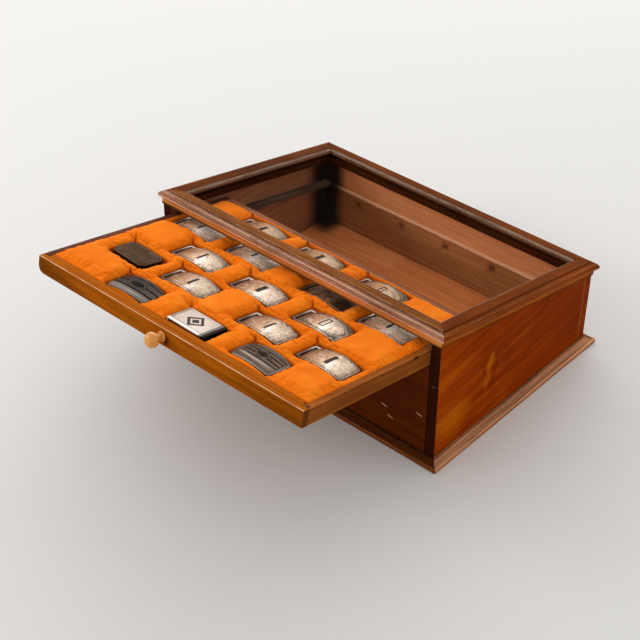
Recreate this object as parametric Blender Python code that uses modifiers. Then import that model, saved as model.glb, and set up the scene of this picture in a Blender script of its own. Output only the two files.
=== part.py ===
"""Table-top display case with a sloping glazed top and a pull-out tray of belt buckles.

Units are metres and +Z is up. The case stands on z = 0, centred on the origin. +X runs along its
width. The tray draws out towards -Y. The top frame and the tray's runners fall towards +Y by one
slope. The tray is modelled drawn out by TRAY_DRAWN_OUT.
"""

import math

import bmesh
import bpy
from mathutils import Matrix

# Boards of the case
CASE_WIDTH = 0.300
CASE_DEPTH = 0.212
SLOPE = math.radians(11.87)
BOARD_THICKNESS = 0.009
FLOOR_THICKNESS = 0.0095
PANEL_GAP = 0.0008
LINING_THICKNESS = 0.0035
LINING_CLEARANCE = 0.0021
EASED_EDGE = 0.0004
SEAT_GAP = 0.0003

# Plinth moulding, measured out from the boards' faces
PLINTH_HEIGHT = 0.008
PLINTH_OVERHANG = 0.0083
PLINTH_NOSE_HEIGHT = 0.0037
PLINTH_NOSE_RADIUS = 0.0010
PLINTH_FOOT_CHAMFER = 0.0006
PLINTH_FILLET = 0.0011
PLINTH_FILLET_HEIGHT = 0.0009

# Top frame moulding, measured out from the boards' faces and up from their top ends
FRAME_THICKNESS = 0.0128
FRAME_OVERHANG = 0.0039
FRAME_NOSE_HEIGHT = 0.0076
FRAME_NOSE_RADIUS = 0.0017
FRAME_NECK_OUT = 0.0008
FRAME_NECK_HEIGHT = 0.0030
FRAME_STEP_HEIGHT = 0.0012
FRAME_STEP_WIDTH = 0.0006
FRAME_FLAT_EDGE = 0.0025
FRAME_FLAT_WIDTH = 0.0093
LEDGE_WIDTH = 0.0028
LEDGE_HEIGHT = 0.0056
GLASS_THICKNESS = 0.0022
GLASS_EDGE = 0.0002
BEAD_DROP = 0.0003
BEAD_FOOT = 0.0007

# Tray
SILL_HEIGHT = 0.096
TRAY_HEIGHT = 0.0144
TRAY_HEADROOM = 0.0066
TRAY_DRAWN_OUT = 0.1469
TRAY_SIDE_CLEARANCE = 0.0008
TRAY_STOP_CLEARANCE = 0.0007
TRAY_PROUD = 0.0083
SILL_CLEARANCE = 0.0005
FACING_THICKNESS = 0.005
FACING_CORNER_RADIUS = 0.0065
INNER_FRONT_THICKNESS = 0.0063
TRAY_SIDE_THICKNESS = 0.0057
TRAY_BACK_THICKNESS = 0.007
TRAY_BOTTOM_THICKNESS = 0.003
TRAY_BOTTOM_LIFT = 0.0015
GROOVE_DEPTH = 0.0025
RUNNER_WIDTH = 0.006
RUNNER_HEIGHT = 0.0055
CUT_OVERRUN = 0.004

# Knob, along its own axis from the facing
KNOB_HEAD_RADIUS = 0.0062
KNOB_HEAD_HALF_DEPTH = 0.0053
KNOB_HEAD_CENTRE = 0.0101
KNOB_WAIST_RADIUS = 0.0036
KNOB_NECK_RADIUS = 0.0031
KNOB_FOOT_RADIUS = 0.0041
KNOB_FOOT_HEIGHT = 0.0019
KNOB_SPIGOT_RADIUS = 0.0022
KNOB_SPIGOT_LENGTH = 0.0040

# Padded velvet liner and the wells that the buckles lie in
LINER_HEIGHT = 0.0088
LINER_EDGE_ROUND = 0.0026
WELL_FLOOR = 0.0056
WELL_MARGIN = 0.0006
WELL_CORNER_RADIUS = 0.0026
LIP_WIDTH = 0.0036
LIP_DROP = 0.0024
LIP_RISE = 0.0002
PLEAT_REACH = 0.0060

# Belt buckles, each lying across the tray with its long side along X. A curved one is measured
# between its corners, and its four sides bulge beyond them
BUCKLE_LENGTH = 0.0385
BUCKLE_DEPTH = 0.0240
BUCKLE_SIDE_BULGE = 0.0018
BUCKLE_END_BULGE = 0.0011
BUCKLE_PLATE = 0.0013
BUCKLE_CROWN = 0.0032
BUCKLE_CROSS_CROWN = 0.0009
BUCKLE_CORNER_RADIUS = 0.0015
BAIL_WIRE_RADIUS = 0.0008
BAIL_REACH = 0.0042
BAIL_WIDTH = 0.0218
BAIL_CORNER_RADIUS = 0.0016
BAIL_ARM_LENGTH = 0.0060
FLAT_BUCKLE_LENGTH = 0.0388
FLAT_BUCKLE_DEPTH = 0.0253
FLAT_BUCKLE_HEIGHT = 0.0046
FLAT_BUCKLE_EDGE = 0.0005
OCTAGON_CLIP = 0.0062
OCTAGON_TAPER = 0.0016
OCTAGON_BORDER = 0.0022
OCTAGON_RAISE = 0.0004

# Where the buckles lie, row by row from the front. Each one's places are shares of the liner's
# half width, from its middle, and of the liner's length, from its front. Its turn is in degrees
BUCKLE_ROWS_SHARES = (
    (
        ("striped", -0.431, 0.083, 2.0),
        ("plain_box", 0.076, 0.073, -1.0),
        ("engraved", 0.535, 0.094, -3.0),
    ),
    (
        ("octagonal", -0.732, 0.284, -4.0),
        ("silver", -0.284, 0.297, 0.0),
        ("silver", 0.338, 0.289, -2.0),
        ("silver", 0.794, 0.287, -1.0),
    ),
    (
        ("silver", -0.483, 0.491, 0.0),
        ("silver", 0.011, 0.485, -1.0),
        ("silver", 0.498, 0.493, -1.0),
    ),
    (
        ("silver", -0.781, 0.697, 0.0),
        ("silver", -0.320, 0.699, -1.0),
        ("dark", 0.292, 0.704, -1.0),
        ("silver", 0.743, 0.697, 0.0),
    ),
    (
        ("silver", -0.550, 0.909, -1.0),
        ("silver", -0.074, 0.911, -1.0),
        ("silver", 0.428, 0.909, -0.5),
    ),
)

# Fineness of curves
ARC_STEPS = 7
KNOB_STEPS = 36
KNOB_ARC_STEPS = 10
CORNER_STEPS = 2
LIP_STEPS = 4
PLATE_STEPS = 14
PLATE_CROSS_STEPS = 4
BAIL_STEPS = 3
HOLE_SIDES = 24

# Sizes that follow from the ones above
INNER_WIDTH = CASE_WIDTH - 2 * BOARD_THICKNESS
SLOPE_LENGTH = CASE_DEPTH / math.cos(SLOPE)
FRONT_HEIGHT = SILL_HEIGHT + TRAY_HEIGHT / math.cos(SLOPE) + TRAY_HEADROOM
LINING_HEIGHT = SILL_HEIGHT - (CASE_DEPTH - BOARD_THICKNESS) * math.tan(SLOPE) - LINING_CLEARANCE
FRAME_REBATE = FRAME_FLAT_EDGE + FRAME_FLAT_WIDTH
FRAME_INSET = FRAME_REBATE + LEDGE_WIDTH
TRAY_WIDTH = INNER_WIDTH - 2 * TRAY_SIDE_CLEARANCE
TRAY_BACK_REACH = CASE_DEPTH - BOARD_THICKNESS - TRAY_STOP_CLEARANCE
TRAY_LENGTH = TRAY_PROUD + (TRAY_BACK_REACH - TRAY_HEIGHT * math.sin(SLOPE)) / math.cos(SLOPE)
TRAY_INNER_HALF = TRAY_WIDTH / 2 - TRAY_SIDE_THICKNESS
LINER_FRONT = FACING_THICKNESS + INNER_FRONT_THICKNESS
LINER_BACK = TRAY_LENGTH - TRAY_BACK_THICKNESS
LINER_BASE = TRAY_BOTTOM_LIFT + TRAY_BOTTOM_THICKNESS + 2 * SEAT_GAP
LINER_LENGTH = LINER_BACK - LINER_FRONT
WELL_HALF_DEPTH = BUCKLE_DEPTH / 2 + BUCKLE_SIDE_BULGE + WELL_MARGIN
WELL_RIGHT = BUCKLE_LENGTH / 2 + BUCKLE_END_BULGE + WELL_MARGIN
WELL_LEFT = BUCKLE_LENGTH / 2 + BAIL_REACH + WELL_MARGIN


def clear_scene():
    for obj in list(bpy.data.objects):
        bpy.data.objects.remove(obj)


def new_collection(name, hidden=False):
    group = bpy.data.collections.new(name)
    group.hide_render = hidden
    bpy.context.scene.collection.children.link(group)
    return group


clear_scene()
PARTS = new_collection("display_case")
CUTTERS = new_collection("cutters", hidden=True)


def finish(name, color, roughness, metallic=0.0, transmission=0.0):
    """A material of one colour."""
    made = bpy.data.materials.new(name)
    made.use_nodes = True
    shader = made.node_tree.nodes["Principled BSDF"]
    shader.inputs["Base Color"].default_value = (*color, 1.0)
    shader.inputs["Roughness"].default_value = roughness
    shader.inputs["Metallic"].default_value = metallic
    shader.inputs["Transmission Weight"].default_value = transmission
    made.diffuse_color = (*color, 1.0)
    return made


FRAME_WOOD = finish("frame_wood", (0.30, 0.085, 0.018), 0.28)
SIDE_WOOD = finish("side_wood", (0.42, 0.11, 0.012), 0.24)
PANEL_WOOD = finish("panel_wood", (0.17, 0.032, 0.010), 0.30)
INNER_WOOD = finish("inner_wood", (0.20, 0.085, 0.040), 0.55)
TRAY_WOOD = finish("tray_wood", (0.26, 0.11, 0.045), 0.50)
FACING_WOOD = finish("facing_wood", (0.43, 0.15, 0.025), 0.25)
KNOB_WOOD = finish("knob_wood", (0.60, 0.32, 0.10), 0.30)
VELVET = finish("orange_velvet", (0.90, 0.18, 0.008), 0.95)
SILVER = finish("worn_silver", (0.62, 0.57, 0.50), 0.33, metallic=1.0)
DARK_METAL = finish("dark_metal", (0.09, 0.08, 0.07), 0.38, metallic=0.8)
GLASS = finish("clear_glass", (0.95, 0.97, 0.96), 0.02, transmission=1.0)


def empty(name, place, turn=(0.0, 0.0, 0.0)):
    marker = bpy.data.objects.new(name, None)
    marker.location = place
    marker.rotation_euler = turn
    PARTS.objects.link(marker)
    return marker


def new_object(name, mesh, material, parent=None, group=PARTS):
    obj = bpy.data.objects.new(name, mesh)
    if not mesh.materials:
        mesh.materials.append(material)
    obj.parent = parent
    group.objects.link(obj)
    return obj


def mesh_from(shape, name):
    """A mesh data block from a bmesh, with every face turned outwards."""
    bmesh.ops.recalc_face_normals(shape, faces=shape.faces)
    mesh = bpy.data.meshes.new(name)
    shape.to_mesh(mesh)
    shape.free()
    return mesh


def as_cutter(obj):
    obj.hide_render = True
    obj.display_type = "WIRE"
    return obj


def cut(obj, cutter, operation="DIFFERENCE"):
    boolean = obj.modifiers.new(cutter.name, "BOOLEAN")
    boolean.operation = operation
    boolean.object = cutter


def ease_edges(obj, width=EASED_EDGE, segments=1):
    bevel = obj.modifiers.new("eased_edges", "BEVEL")
    bevel.width = width
    bevel.segments = segments
    bevel.limit_method = "ANGLE"


def shade_smooth(mesh):
    mesh.shade_smooth()
    mesh.set_sharp_from_angle(angle=math.radians(40))


def evaluated_mesh(obj, name):
    """The mesh of an object with its modifiers carried out. The object is removed."""
    graph = bpy.context.evaluated_depsgraph_get()
    mesh = bpy.data.meshes.new_from_object(obj.evaluated_get(graph))
    mesh.name = name
    bpy.data.objects.remove(obj)
    return mesh


def box_shape(low, high):
    """A bmesh box between two corners."""
    size = [top - bottom for bottom, top in zip(low, high)]
    middle = [(top + bottom) / 2 for bottom, top in zip(low, high)]
    shape = bmesh.new()
    bmesh.ops.create_cube(shape, size=1, matrix=Matrix.Translation(middle) @ Matrix.Diagonal((*size, 1)))
    return shape


def board(name, low, high, material, parent=None, top=None, bottom=None):
    """A board between two corners. Where top or bottom is given, that face follows it over y."""
    shape = box_shape(low, high)
    middle = (low[2] + high[2]) / 2
    for corner in shape.verts:
        follow = top if corner.co.z > middle else bottom
        if follow:
            corner.co.z = follow(corner.co.y)
    obj = new_object(name, mesh_from(shape, name), material, parent)
    ease_edges(obj)
    return obj


def arc(centre, radii, start, end, steps=ARC_STEPS):
    """Points on an elliptical arc between two angles in degrees, with both ends."""
    angles = [math.radians(start + (end - start) * step / steps) for step in range(steps + 1)]
    return [(centre[0] + radii[0] * math.cos(a), centre[1] + radii[1] * math.sin(a)) for a in angles]


def fall(y):
    """How far the slope has dropped at y, from the case's front face."""
    return (y + CASE_DEPTH / 2) * math.tan(SLOPE)


def under_frame(y):
    """Height of the top ends of the boards, a seat gap under the frame."""
    return FRONT_HEIGHT - fall(y) - SEAT_GAP / math.cos(SLOPE)


def runner_top(y):
    return SILL_HEIGHT - fall(y) - SEAT_GAP / math.cos(SLOPE)


def runner_bottom(y):
    return runner_top(y) - RUNNER_HEIGHT / math.cos(SLOPE)


def sill_top(y):
    return SILL_HEIGHT - fall(y) - SILL_CLEARANCE


def build_case_boards():
    half_width, half_depth = CASE_WIDTH / 2, CASE_DEPTH / 2
    inner_half = INNER_WIDTH / 2
    back_face = half_depth - BOARD_THICKNESS
    for side, sign in (("left", -1), ("right", 1)):
        faces = sorted((sign * inner_half, sign * half_width))
        board(
            f"side_{side}",
            (faces[0], -half_depth, 0),
            (faces[1], back_face - SEAT_GAP, FRONT_HEIGHT),
            SIDE_WOOD,
            top=under_frame,
        )
        faces = sorted((sign * (inner_half - SEAT_GAP), sign * (inner_half - RUNNER_WIDTH)))
        board(
            f"runner_{side}",
            (faces[0], -half_depth + BOARD_THICKNESS + SEAT_GAP, 0),
            (faces[1], back_face - LINING_THICKNESS - 2 * SEAT_GAP, SILL_HEIGHT),
            INNER_WOOD,
            top=runner_top,
            bottom=runner_bottom,
        )
    board(
        "back_board",
        (-half_width, back_face, 0),
        (half_width, half_depth, FRONT_HEIGHT),
        SIDE_WOOD,
        top=under_frame,
    )
    board(
        "front_panel",
        (-inner_half + PANEL_GAP, -half_depth, 0),
        (inner_half - PANEL_GAP, -half_depth + BOARD_THICKNESS, SILL_HEIGHT),
        PANEL_WOOD,
        top=sill_top,
    )
    board(
        "floor_board",
        (-inner_half + SEAT_GAP, -half_depth + BOARD_THICKNESS + SEAT_GAP, 0),
        (inner_half - SEAT_GAP, back_face - SEAT_GAP, FLOOR_THICKNESS),
        INNER_WOOD,
    )
    board(
        "back_lining",
        (-inner_half + SEAT_GAP, back_face - LINING_THICKNESS - SEAT_GAP, FLOOR_THICKNESS + SEAT_GAP),
        (inner_half - SEAT_GAP, back_face - SEAT_GAP, LINING_HEIGHT),
        INNER_WOOD,
    )


def plinth_section():
    """Outline of the plinth moulding as (out, up), from the inner foot round to the inner top."""
    nose = PLINTH_OVERHANG - PLINTH_NOSE_RADIUS
    cove_top = PLINTH_HEIGHT - PLINTH_FILLET_HEIGHT
    points = [(SEAT_GAP, 0), (PLINTH_OVERHANG - PLINTH_FOOT_CHAMFER, 0), (PLINTH_OVERHANG, PLINTH_FOOT_CHAMFER)]
    nose_centre = (nose, PLINTH_NOSE_HEIGHT - PLINTH_NOSE_RADIUS)
    points += arc(nose_centre, (PLINTH_NOSE_RADIUS, PLINTH_NOSE_RADIUS), 0, 90)
    cove_radii = (nose - PLINTH_FILLET, cove_top - PLINTH_NOSE_HEIGHT)
    points += arc((nose, cove_top), cove_radii, 270, 180)[1:]
    points += [(PLINTH_FILLET, PLINTH_HEIGHT), (SEAT_GAP, PLINTH_HEIGHT)]
    return points


def frame_section():
    """Outline of the top frame as (out, up): neck, nose, ovolo, step, flat and glass ledge."""
    nose_centre = (FRAME_OVERHANG - FRAME_NOSE_RADIUS, FRAME_NOSE_HEIGHT)
    step_foot = FRAME_STEP_WIDTH - FRAME_FLAT_EDGE
    step_level = FRAME_THICKNESS - FRAME_STEP_HEIGHT
    cove_radii = (
        nose_centre[0] - FRAME_NECK_OUT,
        FRAME_NOSE_HEIGHT - FRAME_NOSE_RADIUS - FRAME_NECK_HEIGHT,
    )
    points = [(-FRAME_INSET, 0), (FRAME_NECK_OUT, 0)]
    points += arc((nose_centre[0], FRAME_NECK_HEIGHT), cove_radii, 180, 90)
    points += arc(nose_centre, (FRAME_NOSE_RADIUS, FRAME_NOSE_RADIUS), 270, 360)[1:]
    ovolo_radii = (FRAME_OVERHANG - step_foot, step_level - FRAME_NOSE_HEIGHT)
    points += arc((step_foot, FRAME_NOSE_HEIGHT), ovolo_radii, 0, 90)[1:]
    points += [(-FRAME_FLAT_EDGE, step_level), (-FRAME_FLAT_EDGE, FRAME_THICKNESS)]
    points += [(-FRAME_REBATE, FRAME_THICKNESS), (-FRAME_REBATE, LEDGE_HEIGHT), (-FRAME_INSET, LEDGE_HEIGHT)]
    return points


def bead_section():
    """Outline of the quadrant bead that holds the glass down in the frame's rebate."""
    outer = -FRAME_REBATE - SEAT_GAP
    base = LEDGE_HEIGHT + GLASS_THICKNESS + 2 * SEAT_GAP
    foot = base + BEAD_FOOT
    radii = (FRAME_INSET + outer, FRAME_THICKNESS - BEAD_DROP - foot)
    return [(outer, base)] + arc((outer, foot), radii, 90, 180) + [(-FRAME_INSET, base)]


def mitred_rail(name, section, run, material, parent):
    """One side of a mitred frame. It runs along X, and its section's out is -Y."""
    shape = bmesh.new()
    shape.faces.new([shape.verts.new((0, -out, up)) for out, up in section])
    made = bmesh.ops.extrude_face_region(shape, geom=shape.faces[:], use_keep_orig=True)
    moved = {item for item in made["geom"] if isinstance(item, bmesh.types.BMVert)}
    for point in shape.verts:
        reach = run / 2 - point.co.y - SEAT_GAP / math.sqrt(2)
        point.co.x = reach if point in moved else -reach
    mesh = mesh_from(shape, name)
    shade_smooth(mesh)
    return new_object(name, mesh, material, parent)


def mitred_frame(prefix, section, width, depth, material, parent):
    """Four mitred rails round a width by depth rectangle, centred on the parent."""
    sides = (
        ("front", width, (0, -depth / 2), 0),
        ("right", depth, (width / 2, 0), 90),
        ("back", width, (0, depth / 2), 180),
        ("left", depth, (-width / 2, 0), 270),
    )
    for side, run, place, turn in sides:
        rail = mitred_rail(f"{prefix}_{side}", section, run, material, parent)
        rail.location = (*place, 0)
        rail.rotation_euler.z = math.radians(turn)


def build_top():
    """The glazed top frame, in its own tilted plane."""
    top = empty("top_plane", (0, 0, FRONT_HEIGHT - fall(0)), (-SLOPE, 0, 0))
    mitred_frame("top_rail", frame_section(), CASE_WIDTH, SLOPE_LENGTH, FRAME_WOOD, top)
    mitred_frame("glazing_bead", bead_section(), CASE_WIDTH, SLOPE_LENGTH, FRAME_WOOD, top)
    half_width = CASE_WIDTH / 2 - FRAME_REBATE - SEAT_GAP
    half_length = SLOPE_LENGTH / 2 - FRAME_REBATE - SEAT_GAP
    base = LEDGE_HEIGHT + SEAT_GAP
    shape = box_shape((-half_width, -half_length, base), (half_width, half_length, base + GLASS_THICKNESS))
    pane = new_object("glass_pane", mesh_from(shape, "glass_pane"), GLASS, top)
    ease_edges(pane, GLASS_EDGE)


def tray_board(name, low, high, material, slide, groove=None):
    obj = board(name, low, high, material, slide)
    if groove:
        cut(obj, groove)
    return obj


def build_tray_boards(slide):
    """Facing, the box's four sides grooved for the bottom, and the bottom."""
    half = TRAY_WIDTH / 2
    groove_half = TRAY_INNER_HALF + GROOVE_DEPTH
    groove_low = (-groove_half, LINER_FRONT - GROOVE_DEPTH, TRAY_BOTTOM_LIFT)
    groove_high = (groove_half, LINER_BACK + GROOVE_DEPTH, LINER_BASE)
    shape = box_shape(groove_low, groove_high)
    groove = new_object("bottom_groove", mesh_from(shape, "bottom_groove"), TRAY_WOOD, slide, CUTTERS)
    as_cutter(groove)
    for side, sign in (("left", -1), ("right", 1)):
        faces = sorted((sign * TRAY_INNER_HALF, sign * half))
        tray_board(
            f"tray_side_{side}",
            (faces[0], FACING_THICKNESS + SEAT_GAP, 0),
            (faces[1], TRAY_LENGTH, TRAY_HEIGHT),
            TRAY_WOOD,
            slide,
            groove,
        )
    inner = TRAY_INNER_HALF - SEAT_GAP
    tray_board(
        "tray_inner_front",
        (-inner, FACING_THICKNESS + SEAT_GAP, 0),
        (inner, LINER_FRONT, TRAY_HEIGHT),
        TRAY_WOOD,
        slide,
        groove,
    )
    tray_board(
        "tray_back", (-inner, LINER_BACK, 0), (inner, TRAY_LENGTH, TRAY_HEIGHT), TRAY_WOOD, slide, groove
    )
    tray_board(
        "tray_bottom",
        [edge + SEAT_GAP for edge in groove_low],
        [edge - SEAT_GAP for edge in groove_high],
        TRAY_WOOD,
        slide,
    )


def build_facing(slide):
    """Front board of the tray, with its lower left corner rounded off and a hole for the knob."""
    half = TRAY_WIDTH / 2
    shape = box_shape((-half, 0, 0), (half, FACING_THICKNESS, TRAY_HEIGHT))
    corner = [
        edge
        for edge in shape.edges
        if all(point.co.x < 0 and point.co.z < TRAY_HEIGHT / 2 for point in edge.verts)
    ]
    bmesh.ops.bevel(
        shape, geom=corner, offset=FACING_CORNER_RADIUS, segments=ARC_STEPS, profile=0.5, affect="EDGES"
    )
    facing = new_object("tray_facing", mesh_from(shape, "tray_facing"), FACING_WOOD, slide)
    ease_edges(facing)
    hole = bmesh.new()
    depth = KNOB_SPIGOT_LENGTH + SEAT_GAP
    radius = KNOB_SPIGOT_RADIUS + SEAT_GAP
    bmesh.ops.create_cone(
        hole,
        cap_ends=True,
        segments=HOLE_SIDES,
        radius1=radius,
        radius2=radius,
        depth=depth + CUT_OVERRUN,
        matrix=Matrix.Translation((0, (depth - CUT_OVERRUN) / 2, TRAY_HEIGHT / 2))
        @ Matrix.Rotation(math.radians(90), 4, "X"),
    )
    cutter = new_object("knob_hole", mesh_from(hole, "knob_hole"), FACING_WOOD, slide, CUTTERS)
    cut(facing, as_cutter(cutter))


def build_knob(slide):
    """Turned knob: a round head on a neck, with a spigot glued into the facing."""
    waist_angle = -math.degrees(math.acos(KNOB_WAIST_RADIUS / KNOB_HEAD_RADIUS))
    radii = (KNOB_HEAD_RADIUS, KNOB_HEAD_HALF_DEPTH)
    profile = arc((0, KNOB_HEAD_CENTRE), radii, 90, waist_angle, KNOB_ARC_STEPS)
    profile[0] = (0, profile[0][1])
    waist_drop = KNOB_WAIST_RADIUS - KNOB_NECK_RADIUS
    profile += [(KNOB_NECK_RADIUS, profile[-1][1] - waist_drop)]
    foot_radii = (KNOB_FOOT_RADIUS - KNOB_NECK_RADIUS, KNOB_FOOT_HEIGHT)
    profile += arc((KNOB_FOOT_RADIUS, SEAT_GAP + KNOB_FOOT_HEIGHT), foot_radii, 180, 270, 3)
    profile += [(KNOB_SPIGOT_RADIUS, SEAT_GAP), (KNOB_SPIGOT_RADIUS, -KNOB_SPIGOT_LENGTH)]
    profile += [(0, -KNOB_SPIGOT_LENGTH)]
    shape = bmesh.new()
    points = [shape.verts.new((out, 0, along)) for out, along in profile]
    for first, second in zip(points, points[1:]):
        shape.edges.new((first, second))
    mesh = bpy.data.meshes.new("knob")
    shape.to_mesh(mesh)
    shape.free()
    knob = new_object("knob", mesh, KNOB_WOOD, slide)
    knob.location = (0, 0, TRAY_HEIGHT / 2)
    knob.rotation_euler.x = math.radians(90)
    screw = knob.modifiers.new("turning", "SCREW")
    screw.steps = KNOB_STEPS
    screw.render_steps = KNOB_STEPS
    screw.use_merge_vertices = True
    screw.merge_threshold = 0.00001
    screw.use_smooth_shade = True


def well_shape(place):
    """A well for one buckle: straight walls, a rounded lip, and a pleat drawn out at the rear left."""
    left, right = place[0] - WELL_LEFT, place[0] + WELL_RIGHT
    front, back = place[1] - WELL_HALF_DEPTH, place[1] + WELL_HALF_DEPTH
    lip_foot = LINER_HEIGHT - LIP_DROP
    shape = box_shape((left, front, WELL_FLOOR), (right, back, lip_foot))
    upright = [edge for edge in shape.edges if edge.verts[0].co.xy == edge.verts[1].co.xy]
    bmesh.ops.bevel(
        shape, geom=upright, offset=WELL_CORNER_RADIUS, segments=CORNER_STEPS, profile=0.5, affect="EDGES"
    )
    middle_x, middle_y = (left + right) / 2, (front + back) / 2
    rim = max(shape.faces, key=lambda face: face.calc_center_median().z)
    reach, level = 0.0, lip_foot
    for step in range(1, LIP_STEPS + 1):
        angle = math.radians(90 * step / LIP_STEPS)
        out, up = LIP_WIDTH * (1 - math.cos(angle)), lip_foot + (LIP_DROP + LIP_RISE) * math.sin(angle)
        rim = bmesh.ops.extrude_discrete_faces(shape, faces=[rim])["faces"][0]
        corner = min(rim.verts, key=lambda point: point.co.x - point.co.y)
        for point in rim.verts:
            pull = PLEAT_REACH * step / LIP_STEPS**2 if point is corner else 0.0
            point.co.x += math.copysign(out - reach, point.co.x - middle_x) - pull
            point.co.y += math.copysign(out - reach, point.co.y - middle_y) + pull
            point.co.z += up - level
        reach, level = out, up
    rim = bmesh.ops.extrude_discrete_faces(shape, faces=[rim])["faces"][0]
    for point in rim.verts:
        point.co.z += CUT_OVERRUN
    return shape


def build_liner(slide, places):
    """Padded velvet cushion on the tray's bottom, with a well for each buckle."""
    half = TRAY_INNER_HALF - SEAT_GAP
    shape = box_shape((-half, LINER_FRONT + SEAT_GAP, 0), (half, LINER_BACK - SEAT_GAP, LINER_HEIGHT))
    upper = [edge for edge in shape.edges if all(point.co.z > 0 for point in edge.verts)]
    bmesh.ops.bevel(
        shape, geom=upper, offset=LINER_EDGE_ROUND, segments=CORNER_STEPS, profile=0.5, affect="EDGES"
    )
    liner = new_object("velvet_liner", mesh_from(shape, "velvet_liner"), VELVET, slide)
    liner.location.z = LINER_BASE
    for name, _, place, _ in places:
        well = mesh_from(well_shape(place), f"well_{name}")
        cutter = new_object(f"well_{name}", well, VELVET, slide, CUTTERS)
        cutter.location.z = LINER_BASE
        cut(liner, as_cutter(cutter))


def plate_height(x, y=0.0):
    """Top of a curved plate above the feet of its ends. The crown falls off along it and across it."""
    along, across = 2 * x / BUCKLE_LENGTH, 2 * y / BUCKLE_DEPTH
    return BUCKLE_PLATE + BUCKLE_CROWN * (1 - along**2) + BUCKLE_CROSS_CROWN * (1 - across**2)


def bail_path():
    """Points of the wire loop at a buckle's left end, from under the plate and back again."""
    half = BAIL_WIDTH / 2
    inner = -BUCKLE_LENGTH / 2 + BAIL_ARM_LENGTH
    outer = -BUCKLE_LENGTH / 2 - BAIL_REACH + BAIL_WIRE_RADIUS
    low = BAIL_WIRE_RADIUS
    high = plate_height(inner, half) - BUCKLE_PLATE / 2
    centre = (outer + BAIL_CORNER_RADIUS, half - BAIL_CORNER_RADIUS)
    turn = arc(centre, (BAIL_CORNER_RADIUS, BAIL_CORNER_RADIUS), 90, 180, BAIL_STEPS)
    side = [(inner, half, high), (-BUCKLE_LENGTH / 2 + BUCKLE_PLATE, half, low)]
    side += [(x, y, low) for x, y in turn]
    return side + [(x, -y, z) for x, y, z in reversed(side)]


def curved_plate(name):
    """A thin plate crowned both ways, with bulging sides and rounded corners."""
    shape = bmesh.new()
    size = Matrix.Diagonal((BUCKLE_LENGTH, BUCKLE_DEPTH, 1, 1))
    bmesh.ops.create_grid(
        shape, x_segments=PLATE_STEPS, y_segments=PLATE_CROSS_STEPS, size=0.5, matrix=size
    )
    corners = [point for point in shape.verts if len(point.link_edges) == 2]
    bmesh.ops.bevel(
        shape, geom=corners, offset=BUCKLE_CORNER_RADIUS, segments=CORNER_STEPS, profile=0.5, affect="VERTICES"
    )
    for point in shape.verts:
        x, y = point.co.xy
        along, across = 2 * x / BUCKLE_LENGTH, 2 * y / BUCKLE_DEPTH
        point.co.x = x + along * BUCKLE_END_BULGE * (1 - across**2)
        point.co.y = y + across * BUCKLE_SIDE_BULGE * (1 - along**2)
        point.co.z = plate_height(x, y)
    plate = new_object(name, mesh_from(shape, name), SILVER)
    shell = plate.modifiers.new("thickness", "SOLIDIFY")
    shell.thickness = BUCKLE_PLATE
    shell.offset = -1
    return plate


def silver_buckle_mesh():
    """A curved plate with the wire bail standing out at its left end."""
    plate = curved_plate("silver_buckle")
    curve = bpy.data.curves.new("bail", "CURVE")
    curve.dimensions = "3D"
    curve.bevel_depth = BAIL_WIRE_RADIUS
    curve.bevel_resolution = 1
    curve.use_fill_caps = True
    path = bail_path()
    spline = curve.splines.new("POLY")
    spline.points.add(len(path) - 1)
    for point, place in zip(spline.points, path):
        point.co = (*place, 1)
    wire = bpy.data.objects.new("bail", curve)
    CUTTERS.objects.link(wire)
    bpy.context.view_layer.update()
    mesh = evaluated_mesh(wire, "bail_wire")
    shape = bmesh.new()
    shape.from_mesh(mesh)
    bmesh.ops.remove_doubles(shape, verts=shape.verts, dist=EASED_EDGE / 10)
    loop = new_object("bail_wire", mesh_from(shape, "bail_wire"), SILVER, None, CUTTERS)
    cut(plate, as_cutter(loop), "UNION")
    made = evaluated_mesh(plate, "silver_buckle")
    bpy.data.objects.remove(loop)
    return made


def curved_buckle_mesh():
    """A curved plate whose bail lies out of sight under it."""
    return evaluated_mesh(curved_plate("curved_buckle"), "curved_buckle")


def box_buckle_mesh():
    """A flat plate whose two ends are turned down."""
    half, depth = FLAT_BUCKLE_LENGTH / 2, FLAT_BUCKLE_DEPTH / 2
    shape = box_shape((-half, -depth, 0), (half, depth, FLAT_BUCKLE_HEIGHT))
    hollow = box_shape(
        (-half + BUCKLE_PLATE, -depth - CUT_OVERRUN, -CUT_OVERRUN),
        (half - BUCKLE_PLATE, depth + CUT_OVERRUN, FLAT_BUCKLE_HEIGHT - BUCKLE_PLATE),
    )
    plate = new_object("box_buckle", mesh_from(shape, "box_buckle"), SILVER)
    ease_edges(plate, FLAT_BUCKLE_EDGE, CORNER_STEPS)
    cutter = new_object("box_buckle_hollow", mesh_from(hollow, "box_buckle_hollow"), SILVER, None, CUTTERS)
    cut(plate, as_cutter(cutter))
    made = evaluated_mesh(plate, "box_buckle_plate")
    bpy.data.objects.remove(cutter)
    return made


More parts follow.
